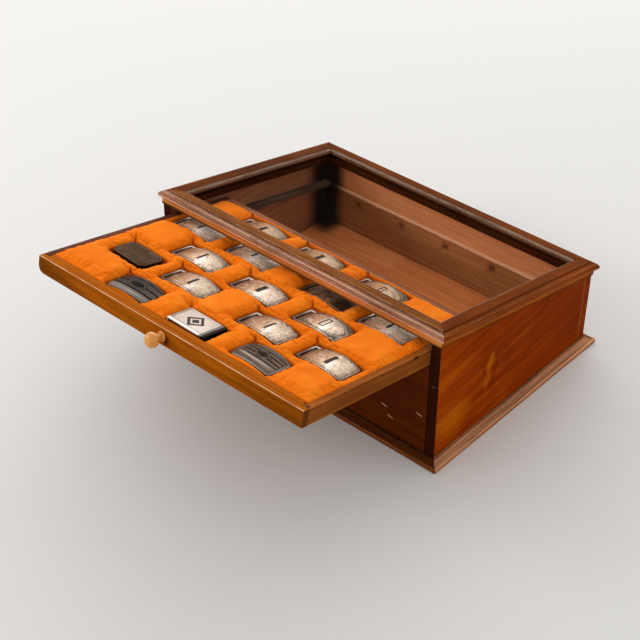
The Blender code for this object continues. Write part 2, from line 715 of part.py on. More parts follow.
def octagonal_buckle_mesh():
    """A block with clipped corners, sides that lean in, and a raised panel inside a border."""
    half, depth = FLAT_BUCKLE_LENGTH / 2, FLAT_BUCKLE_DEPTH / 2
    shape = box_shape((-half, -depth, 0), (half, depth, FLAT_BUCKLE_HEIGHT - OCTAGON_RAISE))
    upright = [edge for edge in shape.edges if edge.verts[0].co.xy == edge.verts[1].co.xy]
    bmesh.ops.bevel(shape, geom=upright, offset=OCTAGON_CLIP, segments=1, profile=0.5, affect="EDGES")
    top = max(shape.faces, key=lambda face: face.calc_center_median().z)
    for point in top.verts:
        point.co.x *= 1 - OCTAGON_TAPER / half
        point.co.y *= 1 - OCTAGON_TAPER / depth
    bmesh.ops.inset_region(shape, faces=[top], thickness=OCTAGON_BORDER)
    bmesh.ops.inset_region(shape, faces=[top], thickness=OCTAGON_RAISE, depth=OCTAGON_RAISE)
    return mesh_from(shape, "octagonal_buckle")


def buckle_places():
    """(name, kind, place in the tray, turn in degrees) of each buckle, row by row from the front."""
    places = []
    for row, buckles in enumerate(BUCKLE_ROWS_SHARES, 1):
        for column, (kind, across, along, turn) in enumerate(buckles, 1):
            place = (across * TRAY_INNER_HALF, LINER_FRONT + along * LINER_LENGTH)
            places.append((f"buckle_{row}_{column}", kind, place, turn))
    return places


def build_buckles(slide, places):
    silver = silver_buckle_mesh()
    tarnished = silver.copy()
    tarnished.materials.clear()
    tarnished.materials.append(DARK_METAL)
    curved = curved_buckle_mesh()
    curved.materials.clear()
    curved.materials.append(DARK_METAL)
    meshes = {
        "silver": silver,
        "dark": tarnished,
        "striped": curved,
        "engraved": curved,
        "plain_box": box_buckle_mesh(),
        "octagonal": octagonal_buckle_mesh(),
    }
    for name, kind, place, turn in places:
        buckle = new_object(name, meshes[kind], DARK_METAL, slide)
        buckle.location = (*place, LINER_BASE + WELL_FLOOR + SEAT_GAP)
        buckle.rotation_euler.z = math.radians(turn)


def build_tray():
    """Everything that slides. The tray's empty lies at the facing's lower front edge, on the slide's axis."""
    front = -CASE_DEPTH / 2 - TRAY_DRAWN_OUT * math.cos(SLOPE)
    slide = empty("tray_slide", (0, front, SILL_HEIGHT + TRAY_DRAWN_OUT * math.sin(SLOPE)), (-SLOPE, 0, 0))
    places = buckle_places()
    build_tray_boards(slide)
    build_facing(slide)
    build_knob(slide)
    build_liner(slide, places)
    build_buckles(slide, places)


build_case_boards()
mitred_frame("plinth", plinth_section(), CASE_WIDTH, CASE_DEPTH, FRAME_WOOD, empty("base", (0, 0, 0)))
build_top()
build_tray()
bpy.context.view_layer.update()
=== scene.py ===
import math

import bmesh
import bpy
import numpy as np
from mathutils import Matrix, Vector, noise


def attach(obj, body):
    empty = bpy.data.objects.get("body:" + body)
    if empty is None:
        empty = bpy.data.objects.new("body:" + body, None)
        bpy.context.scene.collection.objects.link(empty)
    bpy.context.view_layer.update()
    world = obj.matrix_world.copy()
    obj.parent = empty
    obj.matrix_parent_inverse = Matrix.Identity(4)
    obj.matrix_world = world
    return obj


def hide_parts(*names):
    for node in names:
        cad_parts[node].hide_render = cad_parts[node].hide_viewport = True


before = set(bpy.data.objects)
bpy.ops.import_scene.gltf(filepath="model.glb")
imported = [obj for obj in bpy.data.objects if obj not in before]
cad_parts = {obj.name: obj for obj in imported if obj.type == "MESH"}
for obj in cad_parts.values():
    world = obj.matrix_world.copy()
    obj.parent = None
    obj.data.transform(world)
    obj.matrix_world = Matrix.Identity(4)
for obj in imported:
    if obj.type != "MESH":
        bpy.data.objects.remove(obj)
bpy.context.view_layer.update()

# Case and top frame, in metres, as in the part
CASE_WIDTH = 0.300
CASE_DEPTH = 0.212
SLOPE = math.radians(11.87)
SILL_HEIGHT = 0.096
BOARD_THICKNESS = 0.009
SEAT_GAP = 0.0003
TRAY_HEIGHT = 0.0144
TRAY_HEADROOM = 0.0066
FRONT_HEIGHT = SILL_HEIGHT + TRAY_HEIGHT / math.cos(SLOPE) + TRAY_HEADROOM
SLOPE_LENGTH = CASE_DEPTH / math.cos(SLOPE)

PLINTH_HEIGHT = 0.008
PLINTH_OVERHANG = 0.0083
PLINTH_NOSE_HEIGHT = 0.0037
PLINTH_NOSE_RADIUS = 0.0010
PLINTH_FOOT_CHAMFER = 0.0006
PLINTH_FILLET = 0.0011
PLINTH_FILLET_HEIGHT = 0.0009

FRAME_THICKNESS = 0.0128
FRAME_OVERHANG = 0.0039
FRAME_NOSE_HEIGHT = 0.0076
FRAME_NOSE_RADIUS = 0.0017
FRAME_NECK_OUT = 0.0008
FRAME_NECK_HEIGHT = 0.0030
FRAME_STEP_HEIGHT = 0.0012
FRAME_STEP_WIDTH = 0.0006
FRAME_FLAT_EDGE = 0.0025
FRAME_REBATE = 0.0118
FRAME_INSET = 0.0146
LEDGE_HEIGHT = 0.0056
GLASS_THICKNESS = 0.0022
BEAD_DROP = 0.0003
BEAD_FOOT = 0.0007

# Mouldings as seen: how wide their arrises are rubbed and dented, and how finely they are cut
EASED = 0.0003
RUBBED_OUT = 0.0009
RUBBED_IN = 0.0007
DENT = 0.00022
CUT_SPACING = 0.0022

# Tray, in its own plane from the facing's lower front edge
TRAY_DRAWN_OUT = 0.1469
TRAY_PROUD = 0.0083
BEHIND_TRAY = 0.0097
TRAY_HALF_WIDTH = 0.1402
TRAY_INNER_HALF = 0.1345
TRAY_BACK_THICKNESS = 0.007
TRAY_REACH = CASE_DEPTH - BEHIND_TRAY - TRAY_HEIGHT * math.sin(SLOPE)
LINER_FRONT = 0.0113
LINER_BACK = TRAY_PROUD + TRAY_REACH / math.cos(SLOPE) - TRAY_BACK_THICKNESS
LINER_LENGTH = LINER_BACK - LINER_FRONT
LINER_BASE = 0.0051
WELL_FLOOR = LINER_BASE + 0.0056

KNOB_HEAD_RADIUS = 0.0062
KNOB_HEAD_HALF_DEPTH = 0.0053
KNOB_HEAD_CENTRE = 0.0101
KNOB_WAIST_RADIUS = 0.0036
KNOB_NECK_RADIUS = 0.0031
KNOB_FOOT_RADIUS = 0.0041
KNOB_FOOT_HEIGHT = 0.0019
KNOB_SPIGOT_RADIUS = 0.0022
KNOB_SPIGOT_LENGTH = 0.0040

# Buckles. Where a size is seen unlike the part's, its name says so
BUCKLE_LENGTH = 0.0385
BUCKLE_DEPTH = 0.0240
BUCKLE_SIDE_BULGE = 0.0018
BUCKLE_END_BULGE = 0.0011
BUCKLE_PLATE = 0.0013
BUCKLE_SEEN_PLATE = 0.0012
BUCKLE_CROWN = 0.0032
BUCKLE_CROSS_CROWN = 0.0009
BUCKLE_CORNER_RADIUS = 0.0015
BUCKLE_KNOCKS = 0.00006
MARK_DEPTH = 0.00018
NO_MARK_MM = -9
RIM_ROUND = 0.00022
BOX_ROUND = 0.0004
BLOCK_ROUND = 0.00025
BAIL_WIRE_RADIUS = 0.0008
BAIL_SEEN_RADIUS = 0.00095
BAIL_REACH = 0.0042
BAIL_SEEN_OUT = 0.0013
BAIL_WIDTH = 0.0218
BAIL_CORNER_RADIUS = 0.0016
BAIL_ARM_LENGTH = 0.0060
FLAT_BUCKLE_LENGTH = 0.0388
FLAT_BUCKLE_DEPTH = 0.0253
FLAT_BUCKLE_HEIGHT = 0.0046
OCTAGON_SEEN_CLIP = 0.0042
OCTAGON_SEEN_TAPER = 0.0004
OCTAGON_BORDER = 0.0022
OCTAGON_RAISE = 0.0004

# Wells, from their own middle, and how far the velvet may move as it swells
WELL_HALF_DEPTH = 0.0144
WELL_RIGHT = 0.02095
WELL_LEFT = 0.0257
WELL_CORNER = 0.0026
WELL_RING = 0.0003
WELL_STEP = 0.0008
VELVET_FOOT = 0.0013
SWELL_ASIDE = 0.0007
SWELL_UP = 0.0032
SWELL_DOWN = 0.0008

# Kind of buckle, its place as shares of the liner's half width and length, its turn in degrees,
# and the half width and half length of the mark at its middle
BUCKLES = {
    "buckle_1_1": ("striped", -0.431, 0.083, 2.0, 0.0, 0.0),
    "buckle_1_2": ("plain_box", 0.076, 0.073, -1.0, 0.0, 0.0),
    "buckle_1_3": ("engraved", 0.535, 0.094, -3.0, 0.0, 0.0),
    "buckle_2_1": ("octagonal", -0.732, 0.284, -4.0, 0.0, 0.0),
    "buckle_2_2": ("silver", -0.284, 0.297, 0.0, 0.0014, 0.0058),
    "buckle_2_3": ("silver", 0.338, 0.289, -2.0, 0.0010, 0.0060),
    "buckle_2_4": ("silver", 0.794, 0.287, -1.0, 0.0017, 0.0064),
    "buckle_3_1": ("silver", -0.483, 0.491, 0.0, 0.0012, 0.0060),
    "buckle_3_2": ("silver", 0.011, 0.485, -1.0, 0.0022, 0.0058),
    "buckle_3_3": ("framed", 0.498, 0.493, -1.0, 0.0022, 0.0058),
    "buckle_4_1": ("silver", -0.781, 0.697, 0.0, 0.0010, 0.0052),
    "buckle_4_2": ("silver", -0.320, 0.699, -1.0, 0.0010, 0.0052),
    "buckle_4_3": ("dark", 0.292, 0.704, -1.0, 0.0, 0.0),
    "buckle_4_4": ("silver", 0.743, 0.697, 0.0, 0.0012, 0.0052),
    "buckle_5_1": ("silver", -0.550, 0.909, -1.0, 0.0018, 0.0052),
    "buckle_5_2": ("silver", -0.074, 0.911, -1.0, 0.0020, 0.0054),
    "buckle_5_3": ("framed", 0.428, 0.909, -0.5, 0.0020, 0.0050),
}
WITH_WIRE = ("silver", "framed", "dark")

LEVEL = (0, 0, 0)
SLOPE_TURN = (-SLOPE, 0, 0)
MM = 1000


def plane_at(place):
    """The sloping plane through a place: its X along the case, its Y down the slope."""
    return Matrix.Translation(place) @ Matrix.Rotation(-SLOPE, 4, "X")


TOP_PLANE = plane_at((0, 0, FRONT_HEIGHT - CASE_DEPTH / 2 * math.tan(SLOPE)))
TRAY_FRONT = -CASE_DEPTH / 2 - TRAY_DRAWN_OUT * math.cos(SLOPE)
TRAY_PLANE = plane_at((0, TRAY_FRONT, SILL_HEIGHT + TRAY_DRAWN_OUT * math.sin(SLOPE)))


def turned(angle, axis="Z"):
    return Matrix.Rotation(math.radians(angle), 4, axis)


def well_middle(name):
    """Where the middle of a buckle's well lies in the tray."""
    _, across, along = BUCKLES[name][:3]
    return across * TRAY_INNER_HALF, LINER_FRONT + along * LINER_LENGTH


def buckle_place(name):
    """The matrix that lays a buckle in its well, from its own middle."""
    spot = (*well_middle(name), WELL_FLOOR + SEAT_GAP)
    return TRAY_PLANE @ Matrix.Translation(spot) @ turned(BUCKLES[name][3])


# ---------------------------------------------------------------- finishes


class Value:
    """One output of a node. It is reckoned with like a number, and each sum becomes a node."""

    def __init__(self, socket):
        self.socket = socket

    def __add__(self, other):
        return reckon("ADD", self, other)

    def __sub__(self, other):
        return reckon("SUBTRACT", self, other)

    def __rsub__(self, other):
        return reckon("SUBTRACT", other, self)

    def __mul__(self, other):
        return reckon("MULTIPLY", self, other)

    def __truediv__(self, other):
        return reckon("DIVIDE", self, other)

    def __abs__(self):
        return reckon("ABSOLUTE", self)

    def most(self, *others):
        total = self
        for other in others:
            total = reckon("MAXIMUM", total, other)
        return total

    def between(self, low, high, to_low=0.0, to_high=1.0):
        """Eases from one number to another as the value goes from low to high."""
        sockets = dict(enumerate((self, low, high, to_low, to_high)))
        return add(tree_of(self), "ShaderNodeMapRange", sockets, interpolation_type="SMOOTHSTEP")

    def strip(self, at, half, soft=0.25):
        """One inside a strip about a value, and nought outside it."""
        return abs(self - at).between(half + soft, max(0.0, half - soft))

    def axis(self, letter):
        return add(tree_of(self), "ShaderNodeSeparateXYZ", {"Vector": self}, letter)


def tree_of(value):
    return value.socket.id_data


def put(socket, value):
    """Links a value to a socket, or sets a number or colour on it."""
    if isinstance(value, Value):
        tree_of(value).links.new(value.socket, socket)
    elif socket.type == "RGBA" and len(value) == 3:
        socket.default_value = (*value, 1.0)
    else:
        socket.default_value = value


def add(tree, kind, sockets, output=0, **settings):
    """The output of a new node, with its settings and sockets filled in."""
    node = tree.nodes.new(kind)
    for name, value in settings.items():
        setattr(node, name, value)
    for name, value in sockets.items():
        put(node.inputs[name], value)
    return Value(node.outputs[output])


def reckon(operation, *values):
    tree = next(tree_of(value) for value in values if isinstance(value, Value))
    return add(tree, "ShaderNodeMath", dict(enumerate(values)), operation=operation)


def oval(x, y, half_x, half_y):
    """How far outside an oval a point lies, in millimetres, and below nought inside it."""
    x, y = x / half_x, y / half_y
    return (reckon("SQRT", x * x + y * y) - 1.0) * min(half_x, half_y)


def lozenge(x, y, half_x, half_y, steep):
    """How far outside a lozenge a point lies, and below nought inside it."""
    return (abs(x) / half_x + abs(y) / half_y - 1.0) * steep


class Finish:
    """A material whose colour, gloss and relief are gathered before they are laid on its shader."""

    def __init__(self, name):
        self.material = bpy.data.materials.new(name)
        self.material.use_nodes = True
        self.tree = self.material.node_tree
        self.color = self.gloss = self.normal = None

    def place(self, size=1.0, turn=LEVEL, centre=(0, 0, 0)):
        """Object coordinates from a centre, turned, and counted in figures of a size in metres."""
        size = (size,) * 3 if isinstance(size, float) else size
        source = add(self.tree, "ShaderNodeTexCoord", {}, "Object")
        sockets = {"Vector": source, "Location": centre, "Rotation": turn, "Scale": size}
        return add(self.tree, "ShaderNodeMapping", sockets, vector_type="TEXTURE")

    def run(self, size):
        """The piece's own coordinates along and round it, counted in figures of a size in metres."""
        sockets = {"Vector": add(self.tree, "ShaderNodeUVMap", {}, uv_map="run"), "Scale": size}
        return add(self.tree, "ShaderNodeMapping", sockets, vector_type="TEXTURE")

    def painted(self, name, output="Fac"):
        return add(self.tree, "ShaderNodeAttribute", {}, output, attribute_name=name)

    def noise(self, where, detail=2.0, rough=0.5, bend=0.0):
        """Noise over given coordinates, or over the object's in figures of a size in metres."""
        where = where if isinstance(where, Value) else self.place(where)
        sockets = {"Vector": where, "Scale": 1.0, "Detail": detail, "Roughness": rough, "Distortion": bend}
        return add(self.tree, "ShaderNodeTexNoise", sockets)

    def mix(self, share, first, second, blend="MIX"):
        sockets = {0: share, 6: first, 7: second}
        return add(self.tree, "ShaderNodeMix", sockets, 2, data_type="RGBA", blend_type=blend)

    def tones(self, value, *stops):
        """Colours the finish by a value, from stops of a place and a colour."""
        self.color = add(self.tree, "ShaderNodeValToRGB", {"Fac": value})
        stretch = self.color.socket.node.color_ramp.elements
        while len(stretch) < len(stops):
            stretch.new(0.5)
        for element, (place, color) in zip(stretch, stops):
            element.position = place
            element.color = (*color, 1.0)

    def paint(self, share, color):
        """Covers a share of the colour so far with another."""
        self.color = self.mix(share, self.color, color)

    def tint(self, color):
        self.color = self.mix(1.0, self.color, color, "MULTIPLY")

    def spot(self, place, size, share, color, turn=LEVEL, full=0.8):
        """Paints one soft-edged spot."""
        sockets = {"Vector": self.place(size, turn, place)}
        figure = add(self.tree, "ShaderNodeTexGradient", sockets, "Fac", gradient_type="SPHERICAL")
        self.paint(figure.between(0.0, full, 0.0, share), color)

    def relief(self, height, distance):
        self.normal = add(self.tree, "ShaderNodeBump", {"Height": height, "Distance": distance})

    def lay(self, shine=None, **settings):
        """Puts what was gathered on the shader, with any other settings. Gives the material."""
        sockets = {"Base Color": self.color, "Roughness": self.gloss, "Normal": self.normal}
        sockets["Specular IOR Level"] = shine
        sockets |= {name.replace("_", " "): value for name, value in settings.items()}
        shader = self.tree.nodes["Principled BSDF"]
        for name, value in sockets.items():
            if value is not None:
                put(shader.inputs[name], value)
        return self.material


def wood(
    name, tones, ring=0.004, turn=LEVEL, roughness=(0.3, 0.45), contrast=1.0,
    ring_share=0.14, bend=0.8, by_run=False, lean=(0.35, 0.94), depth=0.00004,
):
    """A wood with rings, fibres and pores, its grain along the local X, not yet laid on its shader."""
    made = Finish(name)

    def grain(*size):
        return made.run(size) if by_run else made.place(size, turn)

    fibre = made.noise(grain(0.060, 0.0012, 0.0012), 4.0, 0.62)
    streak = made.noise(grain(0.140, 0.0045, 0.0045), 3.0, 0.55)
    pores = made.noise(grain(0.0060, 0.00032, 0.00032), 2.0, 0.55)
    waver = made.noise(grain(0.130, 0.030, 0.030), 2.0, 0.5)
    patch = made.noise(grain(0.070, 0.030, 0.030), 2.0, 0.55, 0.4)
    counted = grain(1, ring, ring)
    across = counted.axis("Y") * lean[0] + counted.axis("Z") * lean[1]
    rings = reckon("SINE", (waver * (bend * 5) + across) * math.tau).between(-1.0, 1.0)
    tone = rings * patch * ring_share + fibre * 0.50 + streak * (0.50 - ring_share / 2)
    made.tone = (tone + (patch - 0.5) * 0.35) * contrast + (0.5 - 0.5 * contrast)
    made.tones(made.tone, *zip((0.34, 0.50, 0.66), tones))
    dashes = pores.between(0.60, 0.70)
    made.paint(dashes * 0.35, tones[0])
    made.gloss = made.noise(grain(0.02, 0.006, 0.006), 3.0, 0.6).between(0.3, 0.7, *roughness)
    made.relief(dashes * -0.6 + fibre, depth)
    return made


def moulding_finish(name, rub_and_highlight, pale):
    """Stained moulding: its colour follows the section, with painted highlights and shade, and its arrises
    are pale in flecks, from wear and a painted highlight.
    """
    greys = ((0, 0, 0), (0.5, 0.5, 0.5), (1, 1, 1))
    made = wood(name, greys, 0.003, by_run=True, lean=(0.9, 0.0), depth=0.00007)
    made.color = made.painted("stain_and_light", "Color")
    made.tint(made.tone.between(0.30, 0.70, 0.55, 1.45))
    flecks = made.noise(made.run((0.0040, 0.00045, 0.001)), 4.0, 0.72)
    patches = made.noise(made.run((0.022, 0.003, 0.004)), 3.0, 0.6)
    share = flecks * 0.62 + patches * 0.38
    made.paint(made.painted("wear_and_highlight") * share.between(0.44, 0.58) * rub_and_highlight, pale)
    nicks = made.noise(made.run((0.0035, 0.0012, 0.001)), 4.0, 0.75)
    made.paint(nicks.between(0.66, 0.72) * 0.7, (0.045, 0.018, 0.009))
    return made.lay(0.005)


def velvet_finish():
    made = Finish("orange_velvet_pile")
    nap = made.noise(0.03, 3.0, 0.55, 0.6)
    fuzz = made.noise(0.0009, 3.0, 0.7)
    brushed = made.noise(made.place((0.006, 0.0012, 0.0025), (0, 0, 0.7)), 3.0, 0.6)
    tones = ((0.80, 0.140, 0.004), (1.0, 0.216, 0.008), (1.0, 0.302, 0.018))
    made.tones(nap * 0.55 + brushed * 0.3 + fuzz * 0.15, *zip((0.30, 0.5, 0.70), tones))
    # Painted shade in the wells and creases, partly darker nap
    made.paint(made.painted("crease_shade"), (0.16, 0.012, 0.0012))
    made.gloss = nap.between(0.3, 0.7, 0.82, 0.95)
    made.relief(fuzz * 0.6 + brushed, 0.0003)
    return made.lay(0.03, Sheen_Weight=0.42, Sheen_Roughness=0.4, Sheen_Tint=(1.0, 0.45, 0.10))


def glass_finish():
    made = Finish("clear_pane")
    made.color, made.gloss = (0.10, 0.10, 0.10), 0.05
    dust = made.noise(0.05, 4.0, 0.65, 0.5)
    return made.lay(IOR=1.05, Alpha=dust.between(0.3, 0.75, 0.004, 0.014))


def flat_spot(made):
    """Where a point lies on its plate: from the middle both ways, and from the edge, in millimetres."""
    x, y = made.painted("x_mm"), made.painted("y_mm")
    far_x, far_y = BUCKLE_LENGTH / 2 * MM - abs(x), BUCKLE_DEPTH / 2 * MM - abs(y)
    return x, y, reckon("MINIMUM", far_x, far_y)


# Tarnish, and a painted reflection along the plate: dark at the left end, light in the middle, darker at
# the right end
SILVER_TARNISH_AND_REFLECTION = (
    (0.08, (0.24, 0.105, 0.050)),
    (0.34, (0.44, 0.245, 0.140)),
    (0.54, (0.58, 0.44, 0.325)),
    (0.72, (0.58, 0.46, 0.360)),
    (0.96, (0.36, 0.27, 0.195)),
)


def silver_finish(name, framed=False, lift=(1, 1, 1), bright=1.0, left_back=0.0):
    """Silver plate, tan to the left from tarnish and a painted reflection, bright in the middle as a
    painted highlight, darker to the rear as painted shade, its edges pitted and dark.
    """
    made = Finish(name)
    x, y, edge = flat_spot(made)
    wire = made.painted("wire")
    cloud = made.noise(0.008, 4.0, 0.62, 0.9)
    spots = made.noise(0.0021, 4.0, 0.72)
    pits = made.noise(0.0009, 3.0, 0.65)
    scratch = made.noise(made.place((0.0045, 0.0004, 0.0010), (0, 0, 0.9)), 3.0, 0.65)
    stains = made.noise(made.place(0.0050, centre=(0.3, 0.2, 0.1)), 5.0, 0.68, 0.7)
    made.tones(x * 0.026 + cloud * 0.50 + 0.25, *SILVER_TARNISH_AND_REFLECTION)
    # Painted highlight: a bright patch in the middle, strongest towards the front
    middle = (x + y * 0.15).strip(2.6, 1.5, 3.6) * y.between(8.0, -7.0, 0.12, 0.85)
    made.paint(middle * spots.between(0.30, 0.62, 0.55, 1.0) * bright, (0.90, 0.82, 0.74))
    behind = y.between(0.0, 9.0)
    # Painted shade: the rear half darker, more to the right
    made.paint(behind * x.between(-4.0, 8.0, 0.0, 0.50), (0.22, 0.145, 0.095))
    made.paint(behind * x.between(2.0, -9.0, 0.0, left_back), (0.80, 0.48, 0.29))
    made.paint(stains.between(0.52, 0.66, 0.0, 0.60), (0.24, 0.135, 0.075))
    made.paint(stains.between(0.46, 0.36, 0.0, 0.45), (0.72, 0.64, 0.56))
    made.paint(spots.between(0.50, 0.66, 0.0, 0.65), (0.15, 0.085, 0.05))
    made.paint(scratch.between(0.52, 0.68, 0.0, 0.30), (0.66, 0.52, 0.42))
    tarnish = edge.between(4.2, 0.8, 0.0, 0.55) * spots.between(0.44, 0.60)
    made.paint(tarnish, (0.20, 0.155, 0.12))
    pitted = edge.between(3.2, 1.6) * edge.between(0.2, 0.6) * pits.between(0.49, 0.55)
    made.paint(pitted * 0.72, (0.030, 0.024, 0.020))
    line = edge.strip(1.5, 0.05, 0.22) * spots.between(0.40, 0.58, 0.0, 0.8)
    outside = (abs(x) - made.painted("bar_wide")).most(abs(y) - made.painted("bar_long"))
    if framed:
        outside = abs(outside + 0.45) - 0.58
        ring = oval(x, y, 17.2, 10.2)
        line = line.most(ring.strip(0.0, 0.2, 0.3))
        corners = ring.between(0.5, 1.3) * edge.between(0.9, 1.7)
        made.paint(corners * spots.between(0.36, 0.56, 0.35, 0.85), (0.05, 0.042, 0.034))
    made.paint(line, (0.05, 0.042, 0.036))
    mark = outside.between(0.15, -0.15) * spots.between(0.55, 0.75, 0.96, 0.70)
    made.paint(mark, (0.022, 0.017, 0.014))
    lit = y.between(-2.0, 11.0, 0.10, 1.0) * cloud.between(0.30, 0.65, 0.55, 1.0)
    made.paint(wire, made.mix(lit, (0.10, 0.07, 0.06), (0.62, 0.54, 0.49)))
    # Painted light: the lift makes lighter or darker copies of the plate
    made.tint(lift)
    made.gloss = cloud.between(0.35, 0.7, 0.34, 0.52)
    made.relief((spots + pitted) * -0.3 * (1.0 - wire) - line, 0.00014)
    return made


def lay_silver(made, metallic=0.62):
    return made.lay(0.06, Metallic=metallic, Specular_Tint=(0.45, 0.41, 0.38))


def box_finish():
    """The bright box plate, with a plain lozenge at its middle, a painted highlight along its front, and a
    dark turned-down right end that is painted shade.
    """
    made = silver_finish("bright_box_plate")
    x, y, edge = flat_spot(made)
    made.paint(0.78, (0.56, 0.49, 0.44))
    made.paint(x.between(-15.5, -18.0, 0.0, 0.6), (0.16, 0.13, 0.11))
    # Painted highlight along the front edge
    made.paint(y.between(-9.6, -10.6, 0.0, 0.85), (0.74, 0.71, 0.68))
    scuffs = made.noise(0.0016, 4.0, 0.7)
    made.paint(edge.strip(2.3, 0.05, 0.25) * scuffs.between(0.42, 0.56, 0.1, 0.8), (0.06, 0.05, 0.045))
    made.paint(y.strip(-9.1, 0.1, 0.3) * x.between(4.0, -6.0, 0.2, 0.9), (0.03, 0.026, 0.022))
    figure = lozenge(x + 1.5, y, 7.2, 7.4, 4.2)
    drawn = figure.strip(0.0, 0.95).most(figure.between(-1.9, -2.3))
    made.paint(drawn * 0.93, (0.016, 0.014, 0.012))
    # Painted shade over the turned-down right end: grey, then black on its top and side
    made.paint(x.between(13.4, 14.4, 0.0, 0.90), (0.13, 0.11, 0.095))
    made.paint(x.between(16.2, 16.8, 0.0, 0.95), (0.008, 0.007, 0.006))
    side = made.painted("down_mm").between(0.25, 0.6) * x.between(12.0, 14.0)
    made.paint(side, (0.006, 0.006, 0.006))
    return lay_silver(made)


def dark_finish(name, tones, rim, draw, roughness=(0.30, 0.45), metallic=0.35):
    """Dark metal with clouds and scratches, a lighter rim, and whatever is drawn on it in black."""
    made = Finish(name)
    x, y, edge = flat_spot(made)
    cloud = made.noise(0.007, 4.0, 0.62, 0.6)
    scratch = made.noise(made.place((0.012, 0.0005, 0.0005), (0, 0, 0.5)), 3.0, 0.6)
    made.tones(cloud * 0.85 + scratch * 0.15, *zip((0.34, 0.64), tones))
    black = draw(made, x, y, edge, cloud)
    made.paint(edge.between(0.65, 0.2, 0.0, 0.8), rim)
    made.paint(black * 0.95, (0.004, 0.0035, 0.003))
    made.paint(made.painted("wire"), (0.12, 0.09, 0.07))
    made.gloss = cloud.between(0.3, 0.7, *roughness)
    made.relief(scratch * 0.2 - black, 0.00014)
    return made.lay(0.01, Metallic=metallic, Specular_Tint=(0.15, 0.13, 0.12))


def draw_edge(made, x, y, edge, cloud):
    made.paint(x.between(3.0, 14.0, 0.0, 0.8), (0.035, 0.020, 0.012))
    return edge.strip(1.5, 0.05, 0.2)


def draw_stripes(made, x, y, edge, cloud):
    """Three black stripes along the plate, the middle one through a dark oval, and a lighter front with a
    painted highlight near its edge.
    """
    bowed = x * x * -0.004 + y
    made.paint(bowed.between(-5.0, -7.5, 0.0, 0.9), (0.24, 0.20, 0.175))
    # Painted highlight near the front edge, stronger to the right
    made.paint(bowed.strip(-9.4, 0.1, 0.7) * x.between(-8.0, 6.0, 0.15, 0.8), (0.52, 0.46, 0.41))
    made.paint(x.between(4.0, 17.0, 0.0, 0.35), (0.15, 0.12, 0.10))
    egg = oval(x + 0.4, y - 1.2, 8.6, 4.7)
    stripes = bowed.strip(8.2, 0.70).most(bowed.strip(1.4, 0.8), bowed.strip(-5.4, 0.8))
    stripes = stripes * egg.between(-0.3, 0.3)
    return stripes.most(egg.strip(0.0, 0.15), egg.between(-1.0, -1.7, 0.0, 0.92))


def draw_panel(made, x, y, edge, cloud):
    """A double border with a light front field that is a painted highlight, and dark bands about a long
    lozenge behind it.
    """
    bowed = x * x * -0.005 + y
    # Painted highlight: the light front field
    light = bowed.strip(-6.6, 0.9, 0.7) * abs(x).between(17.0, 8.0, 0.35, 1.0)
    made.paint(light, (0.36, 0.30, 0.255))
    flecks = cloud.between(0.50, 0.60, 0.0, 0.75) * bowed.between(-4.4, -3.4)
    made.paint(flecks, (0.16, 0.115, 0.06))
    made.paint(edge.strip(1.35, 0.1).most(edge.strip(0.3, 0.2)), (0.30, 0.27, 0.24))
    figure = lozenge(x, y - 1.5, 9.0, 4.6, 4.0)
    bands = bowed.strip(-4.2, 0.5).most(
        *(bowed.strip(at, half) for at, half in ((-0.6, 0.65), (3.6, 0.65), (7.2, 0.5)))
    )
    bands = bands * figure.between(0.0, 0.5) * edge.between(2.4, 2.8)
    filled = figure.between(-0.9, -1.4, 0.0, 0.8).most(figure.strip(0.0, 0.1))
    return bands.most(filled, edge.strip(0.85, 0.12), edge.strip(2.05, 0.16))


def draw_block(made, x, y, edge, cloud):
    """Worn light arrises on the block's top, and sides that darken towards its foot as painted shade."""
    down = made.painted("down_mm")
    corner = ((FLAT_BUCKLE_LENGTH + FLAT_BUCKLE_DEPTH) / 2 - OCTAGON_SEEN_CLIP) * MM
    clipped = (corner - (abs(x) + abs(y))) / math.sqrt(2)
    edge = reckon("MINIMUM", edge + 0.15, clipped)
    top = down.between(1.0, 0.7)
    lines = edge.strip(0.55, 0.1, 0.3).most(edge.strip(2.9, 0.1, 0.3)) * top
    made.paint(lines * cloud.between(0.38, 0.56, 0.30, 0.85), (0.34, 0.26, 0.20))
    # The sides' dark foot is painted shade
    return (edge.strip(2.3, 0.15, 0.25) * top).most(down.between(0.8, 1.5, 0.0, 0.95))


# ---------------------------------------------------------------- pieces


def meshed(name, shape):
    mesh = bpy.data.meshes.new(name)
    shape.to_mesh(mesh)
    return mesh


def put_up(name, data):
    """A new object in the scene."""
    made = bpy.data.objects.new(name, data)
    bpy.context.scene.collection.objects.link(made)
    return made


def settle(name, shape, place, material, body, stands_for, slot, sharp):
    """Turns a bmesh into a finished piece that lies where its place says and stands for a CAD node."""
    bmesh.ops.recalc_face_normals(shape, faces=shape.faces)
    shape.transform(place)
    mesh = meshed(name, shape)
    shape.free()
    mesh.shade_smooth()
    mesh.set_sharp_from_angle(angle=math.radians(sharp))
    mesh.materials.append(material)
    piece = put_up(name, mesh)
    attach(piece, body)
    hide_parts(stands_for)
    return piece


def arc(centre, radii, start, end, steps=10):
    angles = [math.radians(start + (end - start) * step / steps) for step in range(steps + 1)]
    return [(centre[0] + radii[0] * math.cos(a), centre[1] + radii[1] * math.sin(a)) for a in angles]


# A section is a row of runs, each with its points as (out, up), how far they are worn and carry
# a painted highlight, and their place in a table of stains with painted light and shade
LOW, RIDGE, ROUND, GROOVE, FLAT = range(5)


